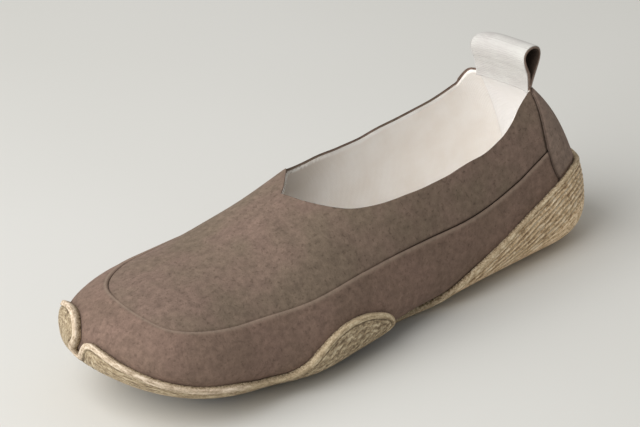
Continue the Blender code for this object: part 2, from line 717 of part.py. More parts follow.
def make_pull_loop():
    """Tape ring that stands on the collar at the back of the heel."""
    count, around = 7, 20
    across = np.linspace(-LOOP_INNER_ANGLE, LOOP_OUTER_ANGLE, count)
    sag = LOOP_SAG * np.clip(-across / LOOP_INNER_ANGLE, 0, 1) ** 2
    columns = Columns(np.full(count, HEEL_CENTRE), math.pi - np.radians(across))
    base = skin(columns, collar_angle(columns)[:, None], -WALL / 2)[:, 0]
    base[:, 2] = base[:, 2].max() + LOOP_COLLAR_ROOM
    outer = drop_outline(0.0, LOOP_HEIGHT, LOOP_HALF_DEPTH, LOOP_FOOT, around)
    inner = drop_outline(HOLE_RISE, HOLE_HEIGHT, LOOP_HALF_DEPTH - LOOP_TAPE, 0.0, around)
    grids = []
    for outline in (outer, inner):
        grid = np.repeat(base[:, None, :], around, axis=1)
        bow = base[:, :1] - base[:, 0].mean()
        grid[..., 0] -= outline[None, :, 0] + LOOP_STRAIGHTEN * bow * np.clip(outline[:, 1] / STRAIGHT_FROM, 0, 1)
        grid[..., 2] += outline[None, :, 1] * (1 - sag / LOOP_HEIGHT)[:, None]
        grids.append(grid)
    start = count * around
    faces = []
    for first, flip in ((0, 1), (start, -1)):
        for i in range(count - 1):
            for k in range(around):
                m = (k + 1) % around
                faces.append((first + i * around + k, first + (i + 1) * around + k,
                              first + (i + 1) * around + m, first + i * around + m)[::flip])
    for i, flip in ((0, 1), (count - 1, -1)):
        for k in range(around):
            m = (k + 1) % around
            end = (i * around + k, i * around + m, start + i * around + m, start + i * around + k)
            faces.append(end[::flip])
    points = np.concatenate([grid.reshape(-1, 3) for grid in grids])
    add_piece("pull_loop", points, faces, (0.75, 0.72, 0.68), 0.8)


def main():
    """Builds every piece into an empty scene."""
    for old in list(bpy.data.objects):
        bpy.data.objects.remove(old)
    make_upper()
    plate("bottom_board", board_share, 0.0, BOARD_THICKNESS, (0.02, 0.019, 0.018), 0.9)
    plate("insole", insole_share, -(WALL + GAP + FACET_ROOM), INSOLE_THICKNESS, (0.62, 0.58, 0.53), 0.9)
    make_outsole()
    make_heel_strip()
    make_pull_loop()


main()
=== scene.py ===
# %% [markdown]
# # A felt slip-on shoe with a wrapped, moulded sole
# The real shoe is a soft felt upper pulled over a foot-shaped last. A thin moulded sole is wrapped up
# its sides, and a folded tape stands on the heel as a pull loop. The measured model gives the place of
# every piece, so it is loaded first.

# %% Load the measured model
import math

import bmesh
import bpy
import numpy as np
from mathutils import Matrix, Vector, kdtree
from mathutils.geometry import delaunay_2d_cdt


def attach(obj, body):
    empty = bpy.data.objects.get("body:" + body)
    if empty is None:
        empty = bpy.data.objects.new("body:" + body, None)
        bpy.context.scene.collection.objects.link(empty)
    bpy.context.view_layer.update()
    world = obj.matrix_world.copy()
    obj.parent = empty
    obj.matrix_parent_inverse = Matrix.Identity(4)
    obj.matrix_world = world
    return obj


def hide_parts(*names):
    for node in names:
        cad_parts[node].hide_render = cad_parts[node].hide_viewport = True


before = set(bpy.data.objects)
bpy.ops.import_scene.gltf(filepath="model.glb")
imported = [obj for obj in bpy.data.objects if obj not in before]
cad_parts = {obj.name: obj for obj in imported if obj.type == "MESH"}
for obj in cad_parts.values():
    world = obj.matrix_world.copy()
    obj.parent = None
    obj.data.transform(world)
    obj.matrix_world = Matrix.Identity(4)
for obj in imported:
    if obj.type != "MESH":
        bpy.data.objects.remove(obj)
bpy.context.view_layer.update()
MM = 0.001
print("pieces measured:", ", ".join(sorted(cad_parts)))

# %% [markdown]
# The camera looks down on the outer side of the shoe from ahead of the toe, a little rolled, as in the
# photograph. Its place was found from the shoe's own outline. A longer lens than the photograph's then
# fills the picture with the one shoe, which changes nothing in the perspective.

# %% Camera
CAMERA_AZIMUTH = math.radians(137.6)
CAMERA_ELEVATION = math.radians(26.0)
CAMERA_ROLL = math.radians(-3.74)
CAMERA_DISTANCE = 1.534
CAMERA_TARGET = Vector((0.00055, 0.00488, 0.035))
AIM = Vector((0.002, -0.005, 0.0485))
LENS_MM = 190.0

back = Vector((math.sin(CAMERA_AZIMUTH) * math.cos(CAMERA_ELEVATION),
               -math.cos(CAMERA_AZIMUTH) * math.cos(CAMERA_ELEVATION),
               math.sin(CAMERA_ELEVATION)))
eye = CAMERA_TARGET + back * CAMERA_DISTANCE
look_back = (eye - AIM).normalized()
level = Vector((0, 0, 1)).cross(look_back).normalized()
upright = look_back.cross(level)
camera_x = level * math.cos(CAMERA_ROLL) + upright * math.sin(CAMERA_ROLL)
camera_y = upright * math.cos(CAMERA_ROLL) - level * math.sin(CAMERA_ROLL)
camera = bpy.data.objects.new("camera", bpy.data.cameras.new("camera"))
camera.data.lens = LENS_MM
camera.matrix_world = Matrix((camera_x, camera_y, look_back)).transposed().to_4x4()
camera.matrix_world.translation = eye
bpy.context.scene.collection.objects.link(camera)
bpy.context.scene.camera = camera
print("camera", round(CAMERA_DISTANCE, 3), "m from the shoe, lens", LENS_MM, "mm")

# %% [markdown]
# A shoemaker works on a last, a solid foot. Here the last is a table of upright sections along its
# length, in millimetres from the back of the heel: how far it reaches to both sides, where it is widest
# and highest, and how square its curves are. Both ends are fans of sections turned about one point.
# Every piece of the shoe is then a layer on this one skin, so all of them fit each other.

# %% The last in numbers
LAST_LENGTH = 280.5
HEEL_CENTRE = 34.0
TOE_CENTRE = 226.0
BALL_X = 190.0
TOE_SPRING = 16.0
TOE_ROUNDNESS = 2.45
TOE_FALL = 0.18
HEEL_ROUNDNESS = 2.23
HEEL_LEAN = 15.8
LEAN_FROM_Z, LEAN_TO_Z, LEAN_POWER = 28.0, 80.0, 1.3
LEAN_LIMIT = 1.3
SPRING_LIMIT = 1.2
SOLE_TOP_Z = 3.3
BOTTOM_SINK = 1.7
MODEL_CENTRE = np.array([140.45, -4.88, 0.0])

LAST_COLUMNS = ("x", "outer", "inner", "spine", "widest", "crown", "n_low", "n_high", "shear",
                "outer_edge", "inner_edge")
LAST_ROWS = (
    (34.0, 35.0, 34.2, 0.0, 23.0, 92.0, 2.90, 2.40, -4.0, 0.80, 0.80),
    (80.0, 36.0, 34.6, 0.0, 24.0, 92.5, 2.85, 2.30, -3.5, 0.80, 0.45),
    (120.0, 38.7, 34.4, 0.0, 22.6, 85.7, 2.70, 2.20, -4.2, 0.80, 0.10),
    (160.0, 43.3, 40.8, -1.5, 19.5, 71.2, 2.50, 2.20, -5.0, 0.80, 0.12),
    (195.0, 47.8, 45.6, -4.0, 17.2, 61.4, 2.60, 2.20, -4.3, 0.80, 0.70),
    (226.0, 47.6, 46.6, -7.0, 20.0, 53.6, 2.45, 2.20, -4.2, 0.80, 0.80),
)
HEEL_COLLAR = 52.8
HEEL_COLLAR_FROM = 0.62
COLLAR_COLUMNS = ("x", "outer", "inner")
COLLAR_ROWS = (
    (34.0, 52.8, 40.3), (43.0, 47.0, 37.6), (50.0, 41.5, 36.2), (60.0, 36.5, 35.3), (76.0, 33.3, 34.4),
    (93.0, 33.3, 34.6), (110.0, 35.4, 38.2), (126.0, 39.2, 43.9), (135.0, 42.4, 46.8), (144.3, 47.4, 53.0),
    (152.0, 53.3, 70.5), (158.6, 61.6, 81.0), (163.5, 71.0, 86.8), (166.2, 79.4, 89.0), (167.6, 90.0, 90.0),
)
SIDE_SEAM_COLUMNS = ("x", "outer", "inner")
SIDE_SEAM_ROWS = (
    (34.0, 20.6, 21.0), (45.0, 17.4, 17.8), (57.0, 14.4, 15.0), (86.0, 10.7, 12.5), (119.0, 14.1, 17.5),
    (150.0, 19.6, 25.0), (180.0, 24.6, 36.0), (205.0, 27.8, 48.0), (226.0, 29.2, 57.0),
)
TOE_SEAM_COLUMNS = ("turn", "angle")
TOE_SEAM_ROWS = (
    (-90.0, 57.0), (-54.0, 56.4), (-36.0, 54.9), (-20.0, 52.5), (-6.0, 50.2), (6.0, 47.9), (18.0, 44.6),
    (28.0, 40.8), (36.0, 36.8), (45.0, 33.8), (64.0, 31.4), (90.0, 29.2),
)


def table(columns, rows, name):
    """One named column of a table, as an array."""
    at = columns.index(name)
    return np.array([row[at] for row in rows], float)


def smooth(knots, values, at, end_slopes=None):
    """Monotone cubic through the knots, held level beyond both ends."""
    at = np.asarray(at, float)
    step = np.diff(knots)
    slope = np.diff(values) / step
    tangent = np.zeros_like(values)
    same_sign = slope[:-1] * slope[1:] > 0
    total = np.where(same_sign, slope[:-1] + slope[1:], 1.0)
    tangent[1:-1] = np.where(same_sign, 2 * slope[:-1] * slope[1:] / total, 0.0)
    tangent[0], tangent[-1] = end_slopes or (slope[0], slope[-1])
    i = np.clip(np.searchsorted(knots, at) - 1, 0, len(knots) - 2)
    t = np.clip((at - knots[i]) / step[i], 0, 1)
    start = values[i] * (1 + 2 * t) * (1 - t) ** 2 + tangent[i] * step[i] * t * (1 - t) ** 2
    end = values[i + 1] * t * t * (3 - 2 * t) + tangent[i + 1] * step[i] * t * t * (t - 1)
    return start + end


def section(name, x):
    """Value of one column of the last table at station x, level where the rounded ends begin."""
    toe_slope = -TOE_FALL if name == "crown" else 0.0
    knots = table(LAST_COLUMNS, LAST_ROWS, "x")
    return smooth(knots, table(LAST_COLUMNS, LAST_ROWS, name), x, (0.0, toe_slope))


print("last", LAST_LENGTH, "mm long, crown", section("crown", 100.0).round(1), "mm at the collar")

# %% [markdown]
# A place round the last is one number: 0 at the back of the heel, 1 to 2 along the outer side, 2 to 4
# round the toe, 4 to 5 back along the inner side, and 6 at the heel again. Up a section the place is an
# angle, from -90 under the foot to 90 at the crown. That makes the skin a plain grid of two numbers.

# %% The skin of the last
OUTER_SIDE, OUTER_TOE, INNER_TOE, INNER_SIDE, RING_END = 1.0, 2.0, 4.0, 5.0, 6.0
TINY = 1e-6


def fan_reach(turn, length, outer, inner, roundness):
    """Half-width of a rounded end in the direction turn, by a superellipse."""
    side = np.where(np.sin(turn) >= 0, outer, inner)
    along = np.abs(np.cos(turn)) / length
    across = np.abs(np.sin(turn)) / side
    return (along ** roundness + across ** roundness) ** (-1.0 / roundness)


class Columns:
    """Upright half-sections at places round the last, each with a direction outwards from the spine."""

    def __init__(self, place):
        self.place = np.asarray(place, float)
        turn = np.interp(self.place, (0, OUTER_SIDE, OUTER_TOE, INNER_TOE, INNER_SIDE, RING_END),
                         np.radians((180, 90, 90, -90, -90, -180)))
        self.turn = turn
        self.station = np.interp(self.place, (OUTER_SIDE, OUTER_TOE, INNER_TOE, INNER_SIDE),
                                 (HEEL_CENTRE, TOE_CENTRE, TOE_CENTRE, HEEL_CENTRE))
        self.dx = np.where(np.abs(np.cos(turn)) < TINY, 0.0, np.cos(turn))
        self.dy = np.sin(turn)
        outer = section("outer", self.station)
        inner = section("inner", self.station)
        heel = fan_reach(turn, HEEL_CENTRE, outer, inner, HEEL_ROUNDNESS)
        toe = fan_reach(turn, LAST_LENGTH - TOE_CENTRE, outer, inner, TOE_ROUNDNESS)
        self.reach = np.where(self.dx < 0, heel, toe)
        self.is_outer = self.place <= 0.5 * RING_END


def spring(x):
    """Height that the toe is lifted at x."""
    return TOE_SPRING * np.clip((x - BALL_X) / (LAST_LENGTH - BALL_X), 0, SPRING_LIMIT) ** 2


def skin(columns, angle, grow):
    """Points of the last's skin grown outwards, one row of angles for each column."""
    widest, crown, n_low, n_high, shear, foot_y = (
        section(name, columns.station)[:, None]
        for name in ("widest", "crown", "n_low", "n_high", "shear", "spine"))
    phi = np.radians(angle)
    power = 2.0 / np.where(phi < 0, n_low, n_high)
    out = (columns.reach[:, None] + grow) * np.abs(np.cos(phi)) ** power
    rise = np.abs(np.sin(phi)) ** power
    low = np.maximum(widest - (widest - SOLE_TOP_Z + BOTTOM_SINK + grow) * rise, SOLE_TOP_Z - grow)
    high = widest + (crown - widest + grow) * rise
    z = np.where(phi < 0, low, high)
    tip = np.clip((z - widest) / (crown - widest), 0, 1)
    lean = np.clip((z - LEAN_FROM_Z) / (LEAN_TO_Z - LEAN_FROM_Z), 0, LEAN_LIMIT) ** LEAN_POWER
    along = columns.dx[:, None] * out
    z = z - TOE_FALL * tip * np.clip(along, 0, None)
    x = columns.station[:, None] + along + HEEL_LEAN * np.clip(-columns.dx, 0, 1)[:, None] * lean
    y = foot_y + columns.dy[:, None] * out + shear * tip
    return np.stack([x, y, z + spring(x)], axis=-1)


print("tip of the toe lifted", spring(LAST_LENGTH), "mm")

# %% [markdown]
# Cloth is measured along the skin, not in angles. So the lengths from the spine are added up along many
# sections, and two tables then turn a length into an angle and an angle into a length.

# %% Lengths along the skin
# Under the flat of the foot one degree is a long way, so more angles are added there
UNDER_FOOT_TO, UNDER_FOOT_COUNT, UNDER_FOOT_POWER = 0.9, 61, 1.35
LENGTH_STEP = 0.5
TABLE_STEPS = 600
under_foot = np.linspace(0.0, UNDER_FOOT_TO, UNDER_FOOT_COUNT) ** UNDER_FOOT_POWER
PROFILE_ANGLES = np.unique(np.append(np.linspace(-90.0, 90.0, 181), -np.degrees(np.arccos(under_foot))))
table_columns = Columns(np.linspace(0.0, RING_END, TABLE_STEPS + 1))
profile = skin(table_columns, np.repeat(PROFILE_ANGLES[None, :], TABLE_STEPS + 1, axis=0), 0.0)
profile[..., 2] -= spring(profile[..., 0])
profile_steps = np.linalg.norm(np.diff(profile, axis=1), axis=-1)
profile_lengths = np.concatenate([np.zeros((TABLE_STEPS + 1, 1)), np.cumsum(profile_steps, axis=1)], axis=1)
length_knots = np.arange(0.0, profile_lengths.max() + LENGTH_STEP, LENGTH_STEP)
angle_table = np.array([np.interp(length_knots, have, PROFILE_ANGLES) for have in profile_lengths])
angle_knots = np.linspace(-90.0, 90.0, 361)
length_table = np.array([np.interp(angle_knots, PROFILE_ANGLES, have) for have in profile_lengths])


def look_up(values, place, along):
    """Value between the four nearest entries of a table, by place round the last and a row number."""
    u = np.clip(place / RING_END * TABLE_STEPS, 0, TABLE_STEPS - TINY)
    v = np.clip(along, 0, values.shape[1] - 1 - TINY)
    i, j = u.astype(int), v.astype(int)
    s, t = u - i, v - j
    near = values[i, j] * (1 - t) + values[i, j + 1] * t
    far = values[i + 1, j] * (1 - t) + values[i + 1, j + 1] * t
    return near * (1 - s) + far * s


def angle_at(columns, length):
    """Angle up each section at lengths along the skin from the spine, one row a column."""
    place = np.broadcast_to(columns.place[:, None], length.shape)
    return look_up(angle_table, place, length / LENGTH_STEP)


def length_at(columns, angle):
    """Length along the skin from the spine at one angle a column."""
    return look_up(length_table, columns.place, (angle + 90.0) / 180.0 * (len(angle_knots) - 1))


print("skin of the last:", profile.shape[0], "columns,",
      profile_lengths.max().round(1), "mm at most up a side")

# %% [markdown]
# Three lines are drawn on the last: the lower edge of the upper, turned in under the foot, the apron
# seam where the side panel is lapped over the vamp, and the collar round the foot's opening.

# %% Lines on the last


def side_angle(columns, names, rows):
    """Angle from a table with an outer and an inner column, by station."""
    knots = table(names, rows, "x")
    outer = smooth(knots, table(names, rows, "outer"), columns.station)
    inner = smooth(knots, table(names, rows, "inner"), columns.station)
    return np.where(columns.is_outer, outer, inner)


def edge_length(columns):
    """Length up to the upper's lower edge."""
    share = np.where(columns.is_outer, section("outer_edge", columns.station),
                     section("inner_edge", columns.station))
    angle = -np.degrees(np.arccos(share ** (section("n_low", columns.station) / 2)))
    return length_at(columns, angle)


def seam_length(columns):
    """Length up to the apron seam."""
    side = side_angle(columns, SIDE_SEAM_COLUMNS, SIDE_SEAM_ROWS)
    turns = table(TOE_SEAM_COLUMNS, TOE_SEAM_ROWS, "turn")
    toe = smooth(turns, table(TOE_SEAM_COLUMNS, TOE_SEAM_ROWS, "angle"), np.degrees(columns.turn))
    return length_at(columns, np.where(columns.dx > TINY, toe, side))


def collar_angle(columns):
    """Angle of the collar: 90 ahead of the throat, and rising to one height round the back of the heel."""
    side = side_angle(columns, COLLAR_COLUMNS, COLLAR_ROWS)
    return side + (HEEL_COLLAR - side) * ease(-columns.dx / HEEL_COLLAR_FROM)


def collar_length(columns):
    """Length up to the collar."""
    return length_at(columns, collar_angle(columns))


THROAT_X = COLLAR_ROWS[-1][0]
print("collar from the heel to the throat at", THROAT_X, "mm")

# %% [markdown]
# Every piece below is a mesh from arrays of points in millimetres. One helper moves them into the model's
# frame, joins points that fall together, turns the faces outwards and ties the piece to the shoe. Values
# that a material needs, such as how deep a groove is, are stored on the points as named marks.

# %% Making a piece
JOIN_DISTANCE = 1e-7


def make_piece(name, points, faces, material, nodes, marks=None):
    """Makes one piece of the shoe that stands for measured nodes."""
    mesh = bpy.data.meshes.new(name)
    mesh.from_pydata(((np.asarray(points) - MODEL_CENTRE) * MM).tolist(), [], faces)
    for mark, values in (marks or {}).items():
        layer = mesh.attributes.new(mark, "FLOAT", "POINT")
        layer.data.foreach_set("value", np.asarray(values, np.float32))
    work = bmesh.new()
    work.from_mesh(mesh)
    bmesh.ops.remove_doubles(work, verts=work.verts[:], dist=JOIN_DISTANCE)
    bmesh.ops.recalc_face_normals(work, faces=work.faces[:])
    work.to_mesh(mesh)
    work.free()
    mesh.shade_smooth()
    mesh.materials.append(material)
    piece = bpy.data.objects.new(name, mesh)
    bpy.context.scene.collection.objects.link(piece)
    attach(piece, "root")
    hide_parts(*nodes)
    triangles = sum(len(face.vertices) - 2 for face in mesh.polygons)
    print(name, len(mesh.vertices), "points", triangles, "triangles")
    return piece


def grid_faces(columns, rows, first=0, wrap_columns=True, wrap_rows=False):
    """Quads of a grid of points stored column by column."""
    i = np.arange(columns if wrap_columns else columns - 1)[:, None]
    k = np.arange(rows if wrap_rows else rows - 1)[None, :]
    j = (i + 1) % columns
    m = (k + 1) % rows
    quads = np.stack(np.broadcast_arrays(i * rows + k, j * rows + k, j * rows + m, i * rows + m), axis=-1)
    return (quads.reshape(-1, 4) + first).tolist()


def between(start, end, count):
    """Rows of values evenly spaced from start to end, both ends included."""
    return start[:, None] + (end - start)[:, None] * np.linspace(0, 1, count)[None, :]


def ease(value):
    """Smooth step from 0 to 1 for values from 0 to 1."""
    t = np.clip(value, 0, 1)
    return t * t * (3 - 2 * t)


print("a sheet of 3 by 4 points has", len(grid_faces(3, 4, wrap_columns=False)), "faces")

# %% [markdown]
# Materials are node trees. One helper adds a node: text keys set its properties or its sockets, and links
# name the outputs that it reads. Colours are written as the hex values seen on screen and turned to linear
# light by one function. Positions come in metres, so a pattern's scale is one over its size in metres.
# What is even all over a material, such as its roughness, is set on the shader's own sockets.

# %% Node and colour helpers


def linear(hex_colour):
    """Linear light of a colour given as six hex digits, with full opacity."""
    shares = [int(hex_colour[i:i + 2], 16) / 255 for i in (0, 2, 4)]
    return [s / 12.92 if s <= 0.04045 else ((s + 0.055) / 1.055) ** 2.4 for s in shares] + [1.0]


def add(tree, kind, settings=None, links=None, stops=None):
    """Adds a node with its settings, its links from other nodes' outputs and a ramp's colour stops."""
    node = tree.nodes.new(kind)
    for name, value in (settings or {}).items():
        if isinstance(name, str) and hasattr(node, name):
            setattr(node, name, value)
        else:
            node.inputs[name].default_value = value
    for name, source in (links or {}).items():
        tree.links.new(source, node.inputs[name])
    for k, (position, colour) in enumerate(stops or ()):
        elements = node.color_ramp.elements
        element = elements[k] if k < 2 else elements.new(position)
        element.position = position
        element.color = colour
    return node


def new_material(name, surface):
    """A material with its tree, its shader with the even values set, and the position in metres."""
    material = bpy.data.materials.new(name)
    material.use_nodes = True
    tree = material.node_tree
    shader = tree.nodes["Principled BSDF"]
    for socket, value in surface.items():
        shader.inputs[socket].default_value = value
    position = add(tree, "ShaderNodeTexCoord").outputs["Object"]
    return material, tree, shader, position


def link_surface(tree, shader, colour, height, strength, relief):
    """Links a colour and a bump, with its relief in metres, to the shader."""
    bump = add(tree, "ShaderNodeBump", {"Strength": strength, "Distance": relief}, {"Height": height})
    tree.links.new(colour, shader.inputs["Base Color"])
    tree.links.new(bump.outputs["Normal"], shader.inputs["Normal"])


MIX_A, MIX_B, MIX_RESULT = 6, 7, 2
print("cream #dcd4c8 in linear light:", [round(v, 3) for v in linear("dcd4c8")])

# %% [markdown]
# Wool felt is pressed, not woven: fibres lie every way. The eye sees no threads but a soft dull nap, broad
# cloudy patches of redder and greener wool, and small dark specks. The fibres are far finer than a pixel
# of the render, so the specks are drawn about 1 mm wide, as the photograph's own pixels show them. Two
# marks on the points paint light into it: painted shade along the seams, and a painted highlight on the
# lip.

# %% Felt
DYE_PATCH = 0.024
MOTTLE = 0.0034
SPECK = 0.0014
NAP = 0.0009
NAP_RELIEF = 0.0005
NAP_STRENGTH = 0.35
# The part of each noise's range that goes from one tone to the other
DYE_LOW, DYE_HIGH = 0.38, 0.62
MOTTLE_LOW, MOTTLE_HIGH = 0.32, 0.68
SPECK_FROM, SPECK_FULL = 0.40, 0.29
MOTTLE_TONES = ("cbcbcb", "ffffff")
FELT_SURFACE = {"Roughness": 0.95, "IOR": 1.45, "Specular IOR Level": 0.15, "Sheen Weight": 0.12,
                "Sheen Roughness": 0.6, "Sheen Tint": linear("b8a89c")}


def make_felt(name, olive, rosy, dark, pale, speck_share):
    """Pressed wool felt with cloudy dye and dark specks."""
    material, tree, shader, position = new_material(name, FELT_SURFACE)
    patches = add(tree, "ShaderNodeTexNoise", {"Scale": 1 / DYE_PATCH, "Detail": 2.0}, {"Vector": position})
    colour = add(tree, "ShaderNodeValToRGB", {}, {"Fac": patches.outputs["Fac"]},
                 ((DYE_LOW, linear(olive)), (DYE_HIGH, linear(rosy)))).outputs["Color"]
    mottles = add(tree, "ShaderNodeTexNoise", {"Scale": 1 / MOTTLE, "Detail": 5.0, "Roughness": 0.75},
                  {"Vector": position})
    cloud = add(tree, "ShaderNodeValToRGB", {}, {"Fac": mottles.outputs["Fac"]},
                ((MOTTLE_LOW, linear(MOTTLE_TONES[0])), (MOTTLE_HIGH, linear(MOTTLE_TONES[1]))))
    colour = add(tree, "ShaderNodeMix", {"data_type": "RGBA", "blend_type": "MULTIPLY", 0: 1.0},
                 {MIX_A: colour, MIX_B: cloud.outputs["Color"]}).outputs[MIX_RESULT]
    specks = add(tree, "ShaderNodeTexNoise", {"Scale": 1 / SPECK, "Detail": 1.0}, {"Vector": position})
    is_dark = add(tree, "ShaderNodeMapRange",
                  {"From Min": SPECK_FROM, "From Max": SPECK_FULL, "To Max": speck_share},
                  {"Value": specks.outputs["Fac"]})
    colour = add(tree, "ShaderNodeMix", {"data_type": "RGBA", MIX_B: linear(dark)},
                 {0: is_dark.outputs["Result"], MIX_A: colour}).outputs[MIX_RESULT]
    # The pale tone is a painted highlight on the lip's crest, the dark one painted shade in the seams
    for mark, tone in (("lip_highlight", pale), ("shade", dark)):
        share = add(tree, "ShaderNodeAttribute", {"attribute_name": mark}).outputs["Fac"]
        colour = add(tree, "ShaderNodeMix", {"data_type": "RGBA", MIX_B: linear(tone)},
                     {0: share, MIX_A: colour}).outputs[MIX_RESULT]
    nap = add(tree, "ShaderNodeTexNoise", {"Scale": 1 / NAP, "Detail": 2.0, "Roughness": 0.6},
              {"Vector": position})
    link_surface(tree, shader, colour, nap.outputs["Fac"], NAP_STRENGTH, NAP_RELIEF)
    return material


vamp_felt = make_felt("wool_felt_taupe", "7f6f60", "867165", "44382f", "96887a", 0.4)
side_felt = make_felt("wool_felt_purple_brown", "826d60", "877064", "3e322b", "988979", 0.3)
strip_felt = make_felt("wool_felt_heel_strip", "8e7c70", "947f73", "3e332b", "9c8d7f", 0.3)
print("felts:", vamp_felt.name, side_felt.name, strip_felt.name)

# %% [markdown]
# The lining and the footbed are a thin off-white cotton cloth, plain woven from threads near 0.4 mm. That
# is finer than a pixel, so the weave is drawn with 0.8 mm threads, and only as a faint relief. The tape of
# the loop is a little coarser. A mark on the points says where the cloth hardly sees the light.

# %% Lining cloth and loop tape
THREAD = 0.0008
TAPE_THREAD = 0.0010
WEAVE_RELIEF = 0.0003
WAVE_PER_THREAD = 0.314
SOIL = 0.014
SOIL_LOW, SOIL_HIGH = 0.35, 0.65
SHADE_TONE = "8a7356"
CLOTH_SURFACE = {"Roughness": 0.9, "Specular IOR Level": 0.2, "Sheen Weight": 0.1}


def make_cloth(name, pale, shaded, thread, strength):
    """Plain-woven cotton: crossing thread waves for the relief and a faint soil in its colour."""
    material, tree, shader, position = new_material(name, CLOTH_SURFACE)
    soil = add(tree, "ShaderNodeTexNoise", {"Scale": 1 / SOIL, "Detail": 4.0}, {"Vector": position})
    colour = add(tree, "ShaderNodeValToRGB", {}, {"Fac": soil.outputs["Fac"]},
                 ((SOIL_LOW, linear(shaded)), (SOIL_HIGH, linear(pale)))).outputs["Color"]
    shade = add(tree, "ShaderNodeAttribute", {"attribute_name": "shade"}).outputs["Fac"]
    colour = add(tree, "ShaderNodeMix", {"data_type": "RGBA", MIX_B: linear(SHADE_TONE)},
                 {0: shade, MIX_A: colour}).outputs[MIX_RESULT]
    heights = []
    for direction in ("X", "Z"):
        wave = add(tree, "ShaderNodeTexWave",
                   {"bands_direction": direction, "Scale": WAVE_PER_THREAD / thread, "Distortion": 1.5,
                    "Detail": 1.0, "Detail Scale": 2.0}, {"Vector": position})
        heights.append(wave.outputs["Fac"])
    weave = add(tree, "ShaderNodeMath", {"operation": "ADD"}, {0: heights[0], 1: heights[1]})
    link_surface(tree, shader, colour, weave.outputs[0], strength, WEAVE_RELIEF)
    return material


lining_cloth = make_cloth("cotton_lining_cream", "fcf8f3", "f7f1ea", THREAD, 0.2)
footbed_cloth = make_cloth("cotton_footbed_white", "fcfaf8", "f8f5f2", THREAD, 0.2)
# The same white tape as inside the heel, painted greyer: painted shade on the loop
shaded_loop_tape = make_cloth("cotton_tape_white_in_painted_shade", "cccac5", "c3bfbb", TAPE_THREAD, 0.35)
board_cloth = make_cloth("board_cloth_black", "1c1a18", "141211", THREAD, 0.3)
print("cloths:", lining_cloth.name, footbed_cloth.name, shaded_loop_tape.name, board_cloth.name)

# %% [markdown]
# The sole is moulded from a rubber filled with ground jute or cork. Under the foot its flecks of straw, tan
# and brown are about a millimetre across. On the wrapped sides the flow of the moulding has drawn them out
# into streaks along the edge, so there the pattern is laid out by the distance along and from the edge,
# which the mesh carries as marks in millimetres. Along every edge runs a rim, creamier round the toe, and
# the rubber of the heel is paler.

# %% Jute-filled sole rubber
FLECK = 0.0010
STREAK_LENGTH = 6.0
STREAK_WIDTH = 1.3
FLECKS_IN_STREAKS = 0.35
GRAIN_LOW, GRAIN_MIDDLE, GRAIN_HIGH = 0.39, 0.50, 0.61
GRAIN_RELIEF = 0.0004
GRAIN_STRENGTH = 0.4
# Tone of the painted shade in the grooves and the cut ribs and tread, also dulling the patch at the toe
HOLLOW_TONE = "4c4130"
# For each place, the mark that leads from its first to its second set of low, high and middle tones
RUBBER_TONES = {
    "body": ("pale", ("766550", "d6c6a8", "ae9a7c"), ("9c7f5f", "fdeacd", "dec29b")),
    "rim": ("cream", ("938065", "d0c0a2", "b5a284"), ("99866f", "e0cfba", "c4b199")),
}
RUBBER_SURFACE = {"Roughness": 0.75, "IOR": 1.52, "Specular IOR Level": 0.3}


def make_sole_rubber():
    """Moulded rubber with flecks below, streaks on the sides, a paler rim and painted shade in its hollows.
    """
    material, tree, shader, position = new_material("rubber_jute_filled", RUBBER_SURFACE)
    marks = {}
    for mark in ("along", "across", "side", "rim", "cream", "pale", "hollow"):
        marks[mark] = add(tree, "ShaderNodeAttribute", {"attribute_name": mark}).outputs["Fac"]
    along = add(tree, "ShaderNodeMath", {"operation": "DIVIDE", 1: STREAK_LENGTH}, {0: marks["along"]})
    across = add(tree, "ShaderNodeMath", {"operation": "DIVIDE", 1: STREAK_WIDTH}, {0: marks["across"]})
    flow = add(tree, "ShaderNodeCombineXYZ", {}, {"X": along.outputs[0], "Y": across.outputs[0]})
    streaks = add(tree, "ShaderNodeTexNoise", {"Scale": 1.0, "Detail": 2.0, "Roughness": 0.7},
                  {"Vector": flow.outputs[0]})
    flecks = add(tree, "ShaderNodeTexNoise", {"Scale": 1 / FLECK, "Detail": 2.0, "Roughness": 0.7},
                 {"Vector": position})
    both = add(tree, "ShaderNodeMix", {"data_type": "FLOAT", 0: FLECKS_IN_STREAKS},
               {2: streaks.outputs["Fac"], 3: flecks.outputs["Fac"]})
    grain = add(tree, "ShaderNodeMix", {"data_type": "FLOAT"},
                {0: marks["side"], 2: flecks.outputs["Fac"], 3: both.outputs[0]}).outputs[0]
    tones = {}
    for place, (mark, *sets) in RUBBER_TONES.items():
        pair = []
        for low, high, middle in sets:
            stops = ((GRAIN_LOW, linear(low)), (GRAIN_HIGH, linear(high)), (GRAIN_MIDDLE, linear(middle)))
            pair.append(add(tree, "ShaderNodeValToRGB", {}, {"Fac": grain}, stops).outputs["Color"])
        tones[place] = add(tree, "ShaderNodeMix", {"data_type": "RGBA"},
                           {0: marks[mark], MIX_A: pair[0], MIX_B: pair[1]}).outputs[MIX_RESULT]
    colour = add(tree, "ShaderNodeMix", {"data_type": "RGBA"},
                 {0: marks["rim"], MIX_A: tones["body"], MIX_B: tones["rim"]})
    colour = add(tree, "ShaderNodeMix", {"data_type": "RGBA", MIX_B: linear(HOLLOW_TONE)},
                 {0: marks["hollow"], MIX_A: colour.outputs[MIX_RESULT]})
    link_surface(tree, shader, colour.outputs[MIX_RESULT], grain, GRAIN_STRENGTH, GRAIN_RELIEF)
    return material


sole_rubber = make_sole_rubber()
print("sole:", sole_rubber.name)

# %% [markdown]
# The sole is first drawn flat, as a pattern whose distances from the spine are measured along the skin of
# the last, and then wrapped on. Its outline has a long slot with a keyhole end, a round lobe beside it,
# a notch at the toe and a deep arch on the inner side. The outline is a smooth closed curve through a few
# points.

